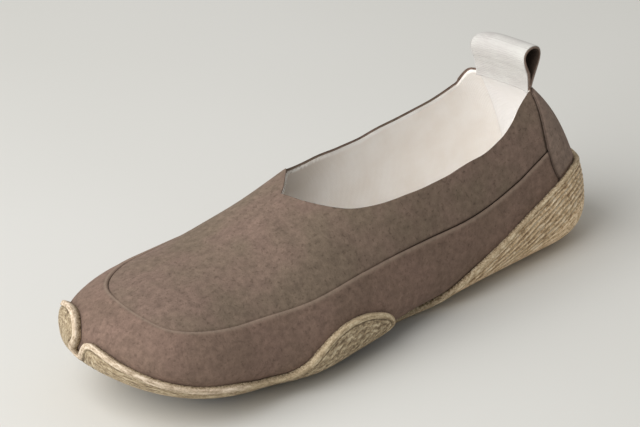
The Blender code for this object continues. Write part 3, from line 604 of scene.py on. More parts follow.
# %% Outline of the sole pattern
SOLE_OUTLINE = (
    (-29.3, 0.0), (-22.6, 26.6), (-7.2, 50.0), (10.0, 60.4), (30.0, 61.2), (44.0, 56.8), (73.0, 47.0),
    (99.0, 38.8), (107.0, 35.0), (115.0, 30.0), (125.0, 26.6), (139.0, 25.4), (155.0, 25.2), (185.0, 21.2),
    (216.0, 12.6),
    (222.0, 7.5), (230.5, -7.0), (235.0, -9.6), (240.5, -8.2), (242.6, -3.0), (238.5, 14.0), (233.5, 19.4),
    (222.0, 20.4), (190.0, 29.2), (161.0, 36.8), (151.6, 39.2), (148.6, 42.6), (151.2, 47.8), (159.5, 52.6),
    (170.0, 56.4), (180.0, 57.8), (189.0, 56.4), (197.5, 52.0), (205.0, 46.2), (213.0, 41.4), (224.0, 40.4),
    (240.0, 41.4), (250.0, 39.2), (258.5, 35.6), (266.5, 31.0), (274.2, 25.0), (281.4, 17.0), (286.0, 8.8),
    (289.4, 0.4), (290.9, -6.2), (289.6, -11.2), (285.4, -15.2), (281.2, -18.8), (280.0, -21.2),
    (282.2, -22.2), (286.2, -19.2), (290.6, -17.3), (294.8, -19.2), (298.2, -24.6), (298.7, -33.0),
    (294.6, -42.4), (285.6, -51.4), (270.0, -58.8), (246.0, -61.6), (218.0, -60.0), (195.0, -57.4),
    (186.0, -54.4), (177.0, -44.0), (167.0, -27.0), (155.0, -15.4), (139.0, -9.6), (124.0, -9.6),
    (111.0, -14.4), (99.0, -25.0), (90.0, -35.0), (79.0, -42.6), (54.0, -52.0), (34.0, -58.8),
    (12.0, -60.3), (-7.2, -49.2), (-22.6, -26.6),
)
EDGE_STEP = 0.8
FINE_STEP = 0.2
CURVE_STEPS = 60


def smooth_loop(points, step):
    """Closed centripetal curve through the points, resampled at even steps."""
    points = np.asarray(points, float)
    count = len(points)
    curve = []
    for i in range(count):
        p = [points[(i + k) % count] for k in (-1, 0, 1, 2)]
        apart = [np.linalg.norm(p[k + 1] - p[k]) ** 0.5 for k in range(3)]
        knot = np.concatenate([[0.0], np.cumsum(apart)])
        for t in np.linspace(knot[1], knot[2], CURVE_STEPS, endpoint=False):
            a = [((knot[k + 1] - t) * p[k] + (t - knot[k]) * p[k + 1]) / (knot[k + 1] - knot[k])
                 for k in range(3)]
            b = [((knot[k + 2] - t) * a[k] + (t - knot[k]) * a[k + 1]) / (knot[k + 2] - knot[k])
                 for k in range(2)]
            curve.append(((knot[2] - t) * b[0] + (t - knot[1]) * b[1]) / (knot[2] - knot[1]))
    curve = np.array(curve + curve[:1])
    walked = np.concatenate([[0.0], np.cumsum(np.linalg.norm(np.diff(curve, axis=0), axis=1))])
    at = np.linspace(0.0, walked[-1], round(walked[-1] / step), endpoint=False)
    return np.stack([np.interp(at, walked, curve[:, 0]), np.interp(at, walked, curve[:, 1])], axis=-1)


def inward(edge):
    """Direction into the sole at each point of its outline."""
    run = np.roll(edge, -1, axis=0) - np.roll(edge, 1, axis=0)
    return np.stack([run[:, 1], -run[:, 0]], axis=-1) / np.linalg.norm(run, axis=1)[:, None]


sole_edge = smooth_loop(SOLE_OUTLINE, EDGE_STEP)
fine_edge = smooth_loop(SOLE_OUTLINE, FINE_STEP)
fine_inward = inward(fine_edge)
edge_tree = kdtree.KDTree(len(fine_edge))
for number, (x, y) in enumerate(fine_edge):
    edge_tree.insert((x, y, 0.0), number)
edge_tree.balance()


def from_edge(points):
    """Distance inside the outline, negative outside, and how far along it the nearest point is."""
    nearest = np.array([edge_tree.find((x, y, 0.0))[1] for x, y in points])
    offset = points - fine_edge[nearest]
    inside = np.sign((offset * fine_inward[nearest]).sum(axis=1))
    return np.linalg.norm(offset, axis=1) * np.where(inside < 0, -1.0, 1.0), nearest * FINE_STEP


print("sole outline", round(len(fine_edge) * FINE_STEP), "mm round")

# %% [markdown]
# The relief is cut into the sole's outer face as a depth in millimetres. It has a rounded edge and a rim
# with a groove inside it. Fine ribs run round the heel, a few round the toe, and the lobe has a zigzag. The
# small patch at the toe has no ribs and is a little duller. Under the foot lies a tread of contour lines
# round a few centres, like the lines on a map.

# %% Relief of the sole
RIM_ROUND = 0.9
RIM_WIDTH = 1.9
HEEL_RIM_WIDTH = 0.8
TOE_RIM_WIDTH = 2.5
RIM_FADE = 0.4
PAST_RIM_FADE = 0.5
GROOVE_WIDTH = 1.0
GROOVE_DEPTH = 0.8
FLAT_GROOVE_SHARE = 0.4
GROOVE_SHADE = 0.75
DARKEST = 0.8
PANEL_DEPTH = 0.3
EDGE_ROUND_DEPTH = 0.7
HEEL_RIB_PITCH = 2.5
HEEL_RIB_DEPTH = 0.55
HEEL_RIB_BAND = 18.5
HEEL_RIB_FADE = 3.0
TOE_RIB_PITCH = 2.3
TOE_RIB_DEPTH = 0.25
TOE_RIB_BAND = 7.0
TOE_RIB_FADE = 2.0
ZIGZAG_PITCH = 2.6
ZIGZAG_DEPTH = 0.4
ZIGZAG_SLOPE = 0.6
TREAD_PITCH = 3.0
TREAD_DEPTH = 0.7
FLAT_SHARE = 0.52
BEND_SHARE = 0.12
HEEL_RIBS_BEFORE_X = 132.0
TOE_RIBS_AFTER_X = 222.0
CREAM_FROM_X = 232.0
PATCH_FROM_X = 276.0
PATCH_BELOW_Y = -16.0
PATCH_FADE = 5.0
PATCH_SHADE = 0.28
FADE = 10.0
LOBE_BOX = ((146.0, 222.0), (30.0, 62.0))
LOBE_FADE_LOW, LOBE_FADE_HIGH = 3.0, 6.0

# Centre, half-length, half-width and turn of each island of the tread's contour lines
TREAD_ISLANDS = (
    (44.0, -14.0, 26.0, 11.0, -4.0),
    (80.0, 14.0, 90.0, 7.0, 1.0),
    (191.0, -13.0, 24.0, 17.0, -12.0),
    (255.0, -34.0, 22.0, 13.0, 12.0),
    (262.0, 12.0, 14.0, 10.0, -30.0),
    (184.0, 41.0, 26.0, 6.0, -14.0),
)
print("tread islands:", len(TREAD_ISLANDS), "rib pitch", HEEL_RIB_PITCH, "mm at the heel")

# %% [markdown]
# A point of the flat pattern has a place round the last and a length along the skin. The islands of the
# tread and the lobe are found on the pattern itself.

# %% Places on the sole pattern


def on_pattern(points):
    """Columns and lengths along the skin for points of the flat pattern."""
    station = np.clip(points[:, 0], HEEL_CENTRE, TOE_CENTRE)
    offset = points - np.stack([station, section("spine", station)], axis=-1)
    turn = np.degrees(np.arctan2(offset[:, 1], offset[:, 0]))
    share = (station - HEEL_CENTRE) / (TOE_CENTRE - HEEL_CENTRE)
    is_left = offset[:, 1] >= 0
    heel = np.where(is_left, (180.0 - turn) / 90.0, INNER_SIDE + (-90.0 - turn) / 90.0)
    toe = OUTER_TOE + (90.0 - turn) / 90.0
    side = np.where(is_left, OUTER_SIDE + share, INNER_SIDE - share)
    place = np.where(points[:, 0] < HEEL_CENTRE, heel, np.where(points[:, 0] > TOE_CENTRE, toe, side))
    return Columns(place), np.linalg.norm(offset, axis=1)


def ridges(value, pitch):
    """0 on the crest of each ridge and 1 in the trough between."""
    return 0.5 - 0.5 * np.cos(2 * math.pi * value / pitch)


def turned(points, x, y, turn):
    """Distances of points along and across a direction, turned by degrees, through one place."""
    c, s = math.cos(math.radians(turn)), math.sin(math.radians(turn))
    ahead, beside = points[..., 0] - x, points[..., 1] - y
    return ahead * c + beside * s, beside * c - ahead * s


def island_lines(points):
    """Distance in millimetres from the core of the nearest island of the tread."""
    nearest = np.full(len(points), np.inf)
    for x, y, half_length, half_width, turn in TREAD_ISLANDS:
        along, across = turned(points, x, y, turn)
        beyond = np.clip(np.abs(along) - half_length + half_width, 0, None)
        nearest = np.minimum(nearest, np.hypot(beyond, across))
    return nearest


def in_lobe(points):
    """1 on the lobe beside the slot, fading to 0 round it."""
    share = np.ones(len(points))
    for axis, (low, high) in enumerate(LOBE_BOX):
        share *= ease((points[:, axis] - low) / LOBE_FADE_LOW)
        share *= ease((high - points[:, axis]) / LOBE_FADE_HIGH)
    return share


print("outline points on the lobe:", int((in_lobe(sole_edge) > 0).sum()))

# %% [markdown]
# All parts of the relief are added up as one depth. The same parts give the marks that the rubber reads:
# where the rim is, where painted shade darkens a hollow, and where the rubber is creamier or paler.

# %% Relief as a depth


def sole_relief(points, distance):
    """Depth of the relief, and the marks that its material reads."""
    columns, length = on_pattern(points)
    bent = ease((length / columns.reach - FLAT_SHARE) / BEND_SHARE)
    is_heel = ease((HEEL_RIBS_BEFORE_X - points[:, 0]) / FADE)
    is_toe = ease((points[:, 0] - TOE_RIBS_AFTER_X) / FADE)
    is_lobe = in_lobe(points)
    is_patch = ease((points[:, 0] - PATCH_FROM_X) / FADE)
    is_patch *= ease((PATCH_BELOW_Y - points[:, 1]) / PATCH_FADE)
    cream = ease((points[:, 0] - CREAM_FROM_X) / FADE)
    wider = (HEEL_RIM_WIDTH - RIM_WIDTH) * is_heel + (TOE_RIM_WIDTH - RIM_WIDTH) * cream
    rim_width = RIM_WIDTH + wider * bent
    rounding = EDGE_ROUND_DEPTH * (1 - np.sqrt(1 - np.clip(1 - distance / RIM_ROUND, 0, 1) ** 2))
    groove = np.sin(math.pi * np.clip((distance - rim_width) / GROOVE_WIDTH, 0, 1)) ** 2
    panel = ease((distance - rim_width - GROOVE_WIDTH / 2) / (GROOVE_WIDTH / 2))
    past = distance - rim_width - GROOVE_WIDTH
    heel_band = is_heel * ease((HEEL_RIB_BAND - past) / HEEL_RIB_FADE)
    toe_band = is_toe * ease((TOE_RIB_BAND - past) / TOE_RIB_FADE) * (1 - is_patch)
    heel_ribs = HEEL_RIB_DEPTH * ridges(past, HEEL_RIB_PITCH) * heel_band
    toe_ribs = TOE_RIB_DEPTH * ridges(past, TOE_RIB_PITCH) * toe_band
    teeth = np.abs(np.mod(points[:, 0] / ZIGZAG_PITCH, 2.0) - 1.0) * ZIGZAG_PITCH * ZIGZAG_SLOPE
    zigzag = ZIGZAG_DEPTH * ridges(points[:, 1] + teeth, ZIGZAG_PITCH) * is_lobe
    side = (heel_ribs + toe_ribs) * (1 - is_lobe) + zigzag
    tread = TREAD_DEPTH * ridges(island_lines(points), TREAD_PITCH)
    cut = ease(past / PAST_RIM_FADE) * (side * bent + tread * (1 - bent))
    shallow = FLAT_GROOVE_SHARE + (1 - FLAT_GROOVE_SHARE) * bent
    depth = rounding + GROOVE_DEPTH * groove * shallow + PANEL_DEPTH * panel * bent + cut
    # Painted shade in the groove and in the cuts of the ribs and tread; the patch at the toe is duller
    hollow = np.clip(GROOVE_SHADE * groove * shallow + cut + PATCH_SHADE * is_patch * panel, 0, DARKEST)
    rim = ease((rim_width + RIM_FADE / 2 - distance) / RIM_FADE)
    return depth, {"rim": rim, "hollow": hollow, "side": bent, "cream": cream, "pale": is_heel * bent}


print("groove", GROOVE_DEPTH, "mm deep, tread", TREAD_DEPTH, "mm deep")

# %% [markdown]
# The points of the pattern are joined into triangles by a Delaunay mesh that keeps the outline. Rows of
# points follow the rim and the ribs, and an even grid fills the rest.

# %% Mesh of the sole pattern
RIM_ROWS = np.concatenate([np.arange(0.3, 3.2, 0.32), np.arange(3.4, 9.0, 0.5)])
HEEL_ROWS = np.arange(9.0, HEEL_RIB_BAND + HEEL_RIB_FADE, 0.5)
ROW_ROOM = 0.29
ROW_SLACK = 0.06
GRID_STEP = 0.95
LOBE_GRID_STEP = 0.62
GRID_ROOM_SHARE = 0.55


def spread(points, room, kept):
    """Adds points to those kept, leaving out any that is closer than room to one before it."""
    cells = {}
    for point in kept:
        cells.setdefault((int(point[0] // room), int(point[1] // room)), []).append(point)
    added = list(kept)
    for x, y in points:
        i, j = int(x // room), int(y // room)
        near = [p for a in (i - 1, i, i + 1) for b in (j - 1, j, j + 1) for p in cells.get((a, b), ())]
        if all((p[0] - x) ** 2 + (p[1] - y) ** 2 > room * room for p in near):
            cells.setdefault((i, j), []).append((x, y))
            added.append((x, y))
    return added


def hex_grid(step, room):
    """Points of an even triangular grid inside the outline, at least room from it."""
    low, high = fine_edge.min(axis=0), fine_edge.max(axis=0)
    rows = np.arange(low[1], high[1], step * math.sqrt(3) / 2)
    stations = np.arange(low[0], high[0], step)
    x = stations[None, :] + np.where(np.arange(len(rows)) % 2 == 0, 0.0, step / 2)[:, None]
    points = np.stack([x, np.broadcast_to(rows[:, None], x.shape)], axis=-1).reshape(-1, 2)
    return points[from_edge(points)[0] > room]


def edge_rows(distances, before_x):
    """Rows of points at distances inside the outline, as far as the station before_x."""
    rows = []
    for distance in distances:
        row = sole_edge + inward(sole_edge) * distance
        rows.append(row[(from_edge(row)[0] > distance - ROW_SLACK) & (row[:, 0] < before_x)])
    return np.concatenate(rows)


def pattern_mesh(inner):
    """Triangles over the outline and the points inside it."""
    points = [Vector((float(x), float(y))) for x, y in list(sole_edge) + list(inner)]
    border = [(i, (i + 1) % len(sole_edge)) for i in range(len(sole_edge))]
    found = delaunay_2d_cdt(points, border, [], 1, TINY)
    return np.array([(p.x, p.y) for p in found[0]]), [tuple(face) for face in found[2]]


def lay_on_last(points, grow):
    """Points of the flat pattern on the skin of the last, each grown by its own amount."""
    columns, length = on_pattern(points)
    return skin(columns, angle_at(columns, length[:, None]), grow[:, None])[:, 0]


print("rows along the rim:", len(RIM_ROWS), "and round the heel:", len(HEEL_ROWS))

# %% [markdown]
# Now the sole is put together. Its outer face carries the relief, the inner face lies just off the upper,
# and a wall along the outline joins them.

# %% Moulded sole
INNER_GRID_STEP = 4.0
INNER_ROOM = 1.5
SOLE_GAP = 0.35


def make_sole():
    """The moulded sole, wrapped up on the last."""
    kept = spread(edge_rows(RIM_ROWS, np.inf), ROW_ROOM, [tuple(p) for p in sole_edge])
    kept = spread(edge_rows(HEEL_ROWS, HEEL_RIBS_BEFORE_X), ROW_ROOM, kept)
    lobe = hex_grid(LOBE_GRID_STEP, RIM_ROWS[0])
    kept = spread(lobe[in_lobe(lobe) > 0], GRID_ROOM_SHARE * LOBE_GRID_STEP, kept)
    kept = spread(hex_grid(GRID_STEP, RIM_ROWS[0]), GRID_ROOM_SHARE * GRID_STEP, kept)
    outer, outer_faces = pattern_mesh(kept[len(sole_edge):])
    inner, inner_faces = pattern_mesh(hex_grid(INNER_GRID_STEP, INNER_ROOM))
    distance, along = from_edge(outer)
    distance[:len(sole_edge)] = 0.0
    depth, marks = sole_relief(outer, np.clip(distance, 0, None))
    marks.update(along=along, across=distance)
    outside = lay_on_last(outer, SOLE_TOP_Z - depth)
    inside = lay_on_last(inner, np.full(len(inner), SOLE_GAP))
    start = len(outside)
    edge = np.arange(len(sole_edge))
    after = np.roll(edge, -1)
    wall = np.stack([after, edge, start + edge, start + after], axis=-1).tolist()
    faces = outer_faces + [tuple(start + i for i in face[::-1]) for face in inner_faces] + wall
    for mark, values in marks.items():
        marks[mark] = np.concatenate([values, np.zeros(len(inner))])
    return make_piece("moulded_sole", np.concatenate([outside, inside]), faces, sole_rubber,
                      ["outsole"], marks)


make_sole()

# %% [markdown]
# The upper is two felt panels. The side panel comes up from under the foot and its cut edge is lapped over
# the vamp, so it ends in a soft rounded lip with a groove behind it. Felt never lies as even as a formula:
# slow shallow waves are added all over, and the soft creases ahead of the throat are listed one by one.

# %% How the felt lies
# Soft creases of the vamp: centre x and y, half-length, half-width, turn and depth, ridges below zero
CREASES = (
    (180.0, 6.0, 17.0, 3.2, 78.0, 0.45),
    (187.0, 8.0, 19.0, 3.4, 80.0, -0.30),
    (194.0, 9.0, 16.0, 3.6, 82.0, 0.35),
    (202.0, 6.0, 20.0, 5.0, 84.0, 0.25),
)
# Slow waves of the felt: direction, wavelength and height
WAVES = (
    ((0.9, 0.3, 0.3), 34.0, 0.14),
    ((0.4, -0.7, 0.6), 27.0, 0.12),
    ((0.5, 0.6, -0.6), 21.0, 0.08),
)


def felt_swell(points):
    """Height of the felt's own waves and creases at points of the skin."""
    height = np.zeros(points.shape[:-1])
    for direction, wavelength, amount in WAVES:
        height += amount * np.sin(points @ np.array(direction) * 2 * math.pi / wavelength)
    for x, y, half_length, half_width, turn, depth in CREASES:
        along, across = turned(points, x, y, turn)
        height -= depth * np.exp(-(along / half_length) ** 2 - (across / half_width) ** 2)
    return height


print("felt:", len(WAVES), "waves and", len(CREASES), "creases")

# %% [markdown]
# A strip of felt is sewn on over the back seam, from the sole to the collar. Both panels are drawn in along
# its two seams, so its outline is needed before them.

# %% Seams of the heel strip
STRIP_LOW_ANGLE = 83.0
STRIP_HIGH_ANGLE = 78.0
STRIP_BOW = 9.0
STRIP_SOLE_ROOM = 0.8
STRIP_COLLAR_ROOM = 1.6
STRIP_GROOVE = 0.7
STRIP_GROOVE_WIDTH = 0.8
HEEL_EDGE_AHEAD = 8.0

heel_offset = fine_edge - np.array([HEEL_CENTRE, 0.0])
heel_offset = heel_offset[heel_offset[:, 0] < HEEL_EDGE_AHEAD]
heel_turn = np.mod(np.arctan2(heel_offset[:, 1], heel_offset[:, 0]), 2 * math.pi)
heel_order = np.argsort(heel_turn)
heel_reach = np.linalg.norm(heel_offset, axis=1)[heel_order]
heel_turn = heel_turn[heel_order]


def sole_reach(columns):
    """Length up the heel to the edge of the sole."""
    return np.interp(np.mod(columns.turn, 2 * math.pi), heel_turn, heel_reach)


def strip_half(up):
    """Half-angle of the heel strip in degrees, at shares of its height."""
    return STRIP_LOW_ANGLE + (STRIP_HIGH_ANGLE - STRIP_LOW_ANGLE) * up + 4 * STRIP_BOW * up * (1 - up)


def strip_seam(columns, length):
    """1 in the seams along both sides of the heel strip, fading to 0 beside them."""
    low = (sole_reach(columns) + STRIP_SOLE_ROOM)[:, None]
    top = (collar_length(columns) - STRIP_COLLAR_ROOM)[:, None]
    half = np.radians(strip_half(np.clip((length - low) / (top - low), 0, 1)))
    round_heel = np.abs(np.mod(columns.turn, 2 * math.pi) - math.pi)[:, None]
    gap = (round_heel - half) * columns.reach[:, None]
    gap = gap + np.clip(columns.station - HEEL_CENTRE, 0, None)[:, None]
    return np.exp(-(gap / STRIP_GROOVE_WIDTH) ** 2)


print("heel strip reaches", strip_half(0.0), "degrees to both sides at the sole")

# %% [markdown]
# Both panels and the lining share one ring of columns. These stand closest together where the collar turns
# at the throat.

# %% Columns of the upper
THROAT_FROM_X = 142.0
HEEL_COLUMNS, REAR_COLUMNS, THROAT_COLUMNS, FRONT_COLUMNS, TOE_COLUMNS = 60, 96, 64, 44, 150


def felt_columns():
    """Columns all round the shoe, by the outer side first."""
    span = TOE_CENTRE - HEEL_CENTRE
    rear = np.linspace(HEEL_CENTRE, THROAT_FROM_X, REAR_COLUMNS, endpoint=False)
    throat = np.linspace(THROAT_FROM_X, THROAT_X, THROAT_COLUMNS, endpoint=False)
    front = np.linspace(THROAT_X, TOE_CENTRE, FRONT_COLUMNS, endpoint=False)
    side = (np.concatenate([rear, throat, front]) - HEEL_CENTRE) / span
    heel = np.linspace(0.0, OUTER_SIDE, HEEL_COLUMNS, endpoint=False)
    toe = np.linspace(OUTER_TOE, INNER_TOE, TOE_COLUMNS, endpoint=False)
    inner = INNER_SIDE - np.append(side, 1.0)[:0:-1]
    return Columns(np.concatenate([heel, OUTER_SIDE + side, toe, inner, INNER_SIDE + heel]))


felt_ring = felt_columns()
print("upper:", len(felt_ring.place), "columns round the shoe")

# %% [markdown]
# The side panel is one closed band: up its outer face, over the lip, and down its inner face. Pulled tight
# by the seam, the felt swells a little just below the lip, and the crest of the lip has a painted
# highlight.

# %% Side panel
SIDE_ROWS = 28
WELT_ROWS = 14
SIDE_INNER_ROWS = 8
LIP_ROUND = 0.65
SIDE_THICKNESS = 2 * LIP_ROUND
LIP_TURNS = np.radians(np.linspace(20.0, 160.0, 7))
WELT_REACH = 6.0
WELT_HEIGHT = 0.35
WELT_CENTRE = 1.5
WELT_WIDTH = 1.6
# Painted highlight along the crest of the lip: its width and strength
HIGHLIGHT_WIDTH = 0.8
HIGHLIGHT_SHARE = 0.4
# How deep the apron seam lies, along the ring of columns: pulled tight at the sides, flattened over the toe
SEAM_DEPTHS = ((0.0, 1.0), (1.4, 1.0), (1.6, 0.5), (1.8, 0.2), (3.0, 0.2), (3.25, 0.8), (3.6, 0.8),
               (4.0, 0.4), (4.5, 0.8), (6.0, 1.0))


def seam_depth(columns):
    """Share of the seam's full depth at each column."""
    places, depths = zip(*SEAM_DEPTHS)
    return np.interp(columns.place, places, depths)[:, None]


def make_side_panel():
    """Felt panel from under the foot up to the apron seam."""
    ring = felt_ring
    low, seam = edge_length(ring), seam_length(ring)
    outer = between(low, seam - WELT_REACH, SIDE_ROWS)
    welt = between(seam - WELT_REACH, seam, WELT_ROWS + 1)[:, 1:]
    lip = seam[:, None] + LIP_ROUND * np.sin(LIP_TURNS)[None, :]
    inner = between(seam, low, SIDE_INNER_ROWS)
    length = np.concatenate([outer, welt, lip, inner], axis=1)
    is_front = np.concatenate([np.ones(SIDE_ROWS + WELT_ROWS), (1 + np.cos(LIP_TURNS)) / 2,
                               np.zeros(SIDE_INNER_ROWS)])[None, :]
    below = seam[:, None] - length
    swelling = WELT_HEIGHT * np.exp(-((below - WELT_CENTRE) / WELT_WIDTH) ** 2)
    grow = -SIDE_THICKNESS * (1 - is_front) + swelling * is_front
    angle = angle_at(ring, length)
    tucked = strip_seam(ring, length)
    swell = felt_swell(skin(ring, angle, 0.0))
    points = skin(ring, angle, grow + swell - STRIP_GROOVE * tucked)
    faces = grid_faces(len(ring.place), length.shape[1], wrap_rows=True)
    # Painted highlight on the crest of the lip, and painted shade in the seams of the heel strip
    lip_highlight = HIGHLIGHT_SHARE * np.exp(-(below / HIGHLIGHT_WIDTH) ** 2) * is_front
    marks = {"lip_highlight": lip_highlight.ravel(), "shade": tucked.ravel()}
    return make_piece("side_panel", points.reshape(-1, 3), faces, side_felt, ["upper"], marks)


make_side_panel()

# %% [markdown]
# Vamp and lining both end at the collar. There the cut edge is rounded over by a small half-circle swept
# along the edge, which also works at the front of the throat, where the edge runs across the shoe.

# %% Walls with a collar edge
COLLAR_REACH = 6.0
FELT_INSIDE = 1.9
FELT_EDGE = 1.55
ROLL_FROM, ROLL_FULL = 60.0, 78.0
EDGE_TURNS = np.linspace(0.0, math.pi, 8)
EDGE_FULLNESS = 0.9


def edge_out(edge, normal):
    """Direction out of the opening at each point of a collar edge, from its run and the skin's normal."""
    out = np.cross(normal, np.gradient(edge, axis=0))
    return out / np.linalg.norm(out, axis=1)[:, None]


def collar_wall(name, outside, inside, lift, roll, material, shade):
    """A wall between two skins, its top edge rounded along the collar and rolled outwards at the throat."""
    count = len(felt_ring.place)
    throat = np.flatnonzero(collar_angle(felt_ring) > 90.0 - TINY)
    rim = np.concatenate([np.arange(throat[-1], count), np.arange(0, throat[0] + 1)])
    top_out, top_in = outside[rim, -1], inside[rim, -1]
    middle, half = (top_out + top_in) / 2, (top_out - top_in) / 2
    thickness = np.linalg.norm(half, axis=1)[:, None]
    out = edge_out(middle, half) * (thickness * EDGE_FULLNESS + lift)
    at_throat = ease((collar_angle(felt_ring)[rim] - ROLL_FROM) / (ROLL_FULL - ROLL_FROM))[:, None]
    crown = out + half / thickness * roll * at_throat
    arch = np.stack([middle + half * math.cos(t) + crown * math.sin(t) for t in EDGE_TURNS], axis=1)
    rows_out, rows_in = outside.shape[1], inside.shape[1]
    inner_first = count * rows_out
    arch_first = inner_first + count * rows_in
    faces = grid_faces(count, rows_out)
    faces += [face[::-1] for face in grid_faces(count, rows_in, inner_first)]
    faces += grid_faces(len(rim), len(EDGE_TURNS), arch_first, wrap_columns=False)
    low = np.arange(count)
    after = np.roll(low, -1)
    faces += np.stack([after * rows_out, low * rows_out, inner_first + low * rows_in,
                       inner_first + after * rows_in], axis=-1).tolist()
    points = np.concatenate([outside.reshape(-1, 3), inside.reshape(-1, 3), arch.reshape(-1, 3)])
    marks = {"shade": np.append(shade.ravel(), np.zeros(len(points) - shade.size))}
    return make_piece(name, points, faces, material, ["upper"], marks)


def collar_grow(length, top):
    """How far inside the last's surface the felt ends: thinner close to the collar."""
    return -FELT_EDGE - (FELT_INSIDE - FELT_EDGE) * ease((top[:, None] - length) / COLLAR_REACH)


print("collar edge rounded in", len(EDGE_TURNS), "steps")

# %% [markdown]
# The vamp panel starts under the lip of the side panel, so it is low there and rises out of the groove. It
# runs over the top of the foot and ends at the collar.

# %% Vamp panel
VAMP_ROWS = 44
INNER_ROWS = 14
SEAM_STEP = 0.7
UNDER_LIP = 3.0
GROOVE_DROP = 0.35
SEAM_ROWS = np.array([-UNDER_LIP, -1.2, -0.4, 0.2, 0.6, 1.0, 1.5, 2.2])
VAMP_FROM = 3.2
VAMP_RISE_FROM = 0.2
VAMP_RISE = 1.3
SEAM_SHADE_AT = 0.8
SEAM_SHADE_WIDTH = 0.7
SWELL_FADE, SWELL_AT_COLLAR = 10.0, 0.25


def make_vamp_panel():
    """Felt panel from under the lip to the collar."""
    ring = felt_ring
    seam, top = seam_length(ring), collar_length(ring)
    at_seam = seam[:, None] + SEAM_ROWS[None, :]
    length = np.concatenate([at_seam, between(seam + VAMP_FROM, top, VAMP_ROWS)], axis=1)
    angle = angle_at(ring, length)
    angle[:, -1] = collar_angle(ring)
    above = length - seam[:, None]
    depth = seam_depth(ring)
    hidden = SIDE_THICKNESS + GROOVE_DROP
    grow = depth * ((hidden - SEAM_STEP) * ease((above - VAMP_RISE_FROM) / VAMP_RISE) - hidden)
    swell = felt_swell(skin(ring, angle, 0.0))
    swell *= ease((top[:, None] - length) / SWELL_FADE + SWELL_AT_COLLAR)
    tucked = strip_seam(ring, length)
    outside = skin(ring, angle, grow + swell - STRIP_GROOVE * tucked)
    inner_length = between(seam - UNDER_LIP, top, INNER_ROWS)
    inner_angle = angle_at(ring, inner_length)
    inner_angle[:, -1] = collar_angle(ring)
    inside = skin(ring, inner_angle, collar_grow(inner_length, top))
    shade = np.maximum(tucked, depth * np.exp(-((above - SEAM_SHADE_AT) / SEAM_SHADE_WIDTH) ** 2))
    return collar_wall("vamp_panel", outside, inside, 0.0, 0.0, vamp_felt, shade)


make_vamp_panel()

# %% [markdown]
# The lining inside is made the same way and stands a little higher, so that a thin cream line shows all
# round the opening. At the throat it is rolled outwards. High up towards the throat it is marked as shaded,
# because the vamp keeps the light from it.

# %% Lining
LINING_ROWS = 40
LINING_GAP = 0.1
LINING_THICKNESS = 0.7
LINING_RISE = 0.75
LINING_ROLL = 1.3
LINING_SHADE = 0.6
LINING_SHADE_FROM, LINING_SHADE_FULL = 100.0, 165.0
LINING_SHADE_LOW, LINING_SHADE_HIGH = 0.6, 0.9


def make_lining():
    """Cream cloth inside the whole upper, with its folded edge just above the felt."""
    ring = felt_ring
    low, top = edge_length(ring), collar_length(ring)
    length = between(low, top, LINING_ROWS)
    angle = angle_at(ring, length)
    angle[:, -1] = collar_angle(ring)
    grow = collar_grow(length, top) - LINING_GAP
    outside = skin(ring, angle, grow)
    inside = skin(ring, angle, grow - LINING_THICKNESS)
    forward = ease((ring.station - LINING_SHADE_FROM) / (LINING_SHADE_FULL - LINING_SHADE_FROM))
    share = np.linspace(0.0, 1.0, LINING_ROWS)
    up = ease((share - LINING_SHADE_LOW) / (LINING_SHADE_HIGH - LINING_SHADE_LOW))
    shade = np.tile((LINING_SHADE * forward[:, None] * up[None, :]).ravel(), 2)
    return collar_wall("lining", outside, inside, LINING_RISE, LINING_ROLL, lining_cloth,
                       shade)


make_lining()

# %% [markdown]
# The footbed is a thin padded insole with a soft edge that reaches a little up the wall.

# %% Footbed
FOOTBED_SHARE = 0.90
FOOTBED_TOP = 6.0
FOOTBED_THICKNESS = 2.9
FOOTBED_RINGS = 22
FOOTBED_EDGE = 0.012
FOOTBED_ROUND = np.radians(np.linspace(0.0, 90.0, 5))[1:]
FOOTBED_WAVE = 0.25
FOOTBED_WAVELENGTH = 107.0


def make_footbed():
    """Padded insole with a rounded edge."""
    ring = felt_ring
    shares = np.sqrt(np.linspace(0.0, 1.0, FOOTBED_RINGS))[None, :] * FOOTBED_SHARE
    edge_shares = FOOTBED_SHARE + FOOTBED_EDGE * np.sin(FOOTBED_ROUND)[None, :]
    top_share = np.concatenate([shares, edge_shares], axis=1)
    share = np.concatenate([top_share, shares[:, ::-1]], axis=1)
    angle = -np.degrees(np.arccos(share ** (section("n_low", ring.station)[:, None] / 2)))
    drop = np.append(np.zeros(FOOTBED_RINGS), FOOTBED_THICKNESS / 2 * (1 - np.cos(FOOTBED_ROUND)))[None, :]
    x = skin(ring, angle, 0.0)[:, :top_share.shape[1], 0]
    wave = FOOTBED_WAVE * np.sin(2 * math.pi * x / FOOTBED_WAVELENGTH) * (1 - top_share / top_share.max())
    under = np.full((len(ring.place), FOOTBED_RINGS), FOOTBED_THICKNESS - FOOTBED_TOP)
    points = skin(ring, angle, np.concatenate([wave - FOOTBED_TOP - drop, under], axis=1))
    faces = grid_faces(len(ring.place), points.shape[1])
    return make_piece("footbed", points.reshape(-1, 3), faces, footbed_cloth, ["insole"])


make_footbed()

# %% [markdown]
# Two bands cover the back seam, one outside and one inside. Both are thin patches on the last: a front face
# with rounded edges, an even back, and a border that joins them.

# %% Patches on the last
BAND_COLUMNS, BAND_ROWS = 110, 46


def lay(place, length, grow):
    """Points on the last for grids of places, lengths and growths."""
    columns = Columns(np.mod(place.ravel(), RING_END))
    angle = angle_at(columns, length.reshape(-1, 1))
    return skin(columns, angle, np.broadcast_to(grow, place.shape).reshape(-1, 1))[:, 0]


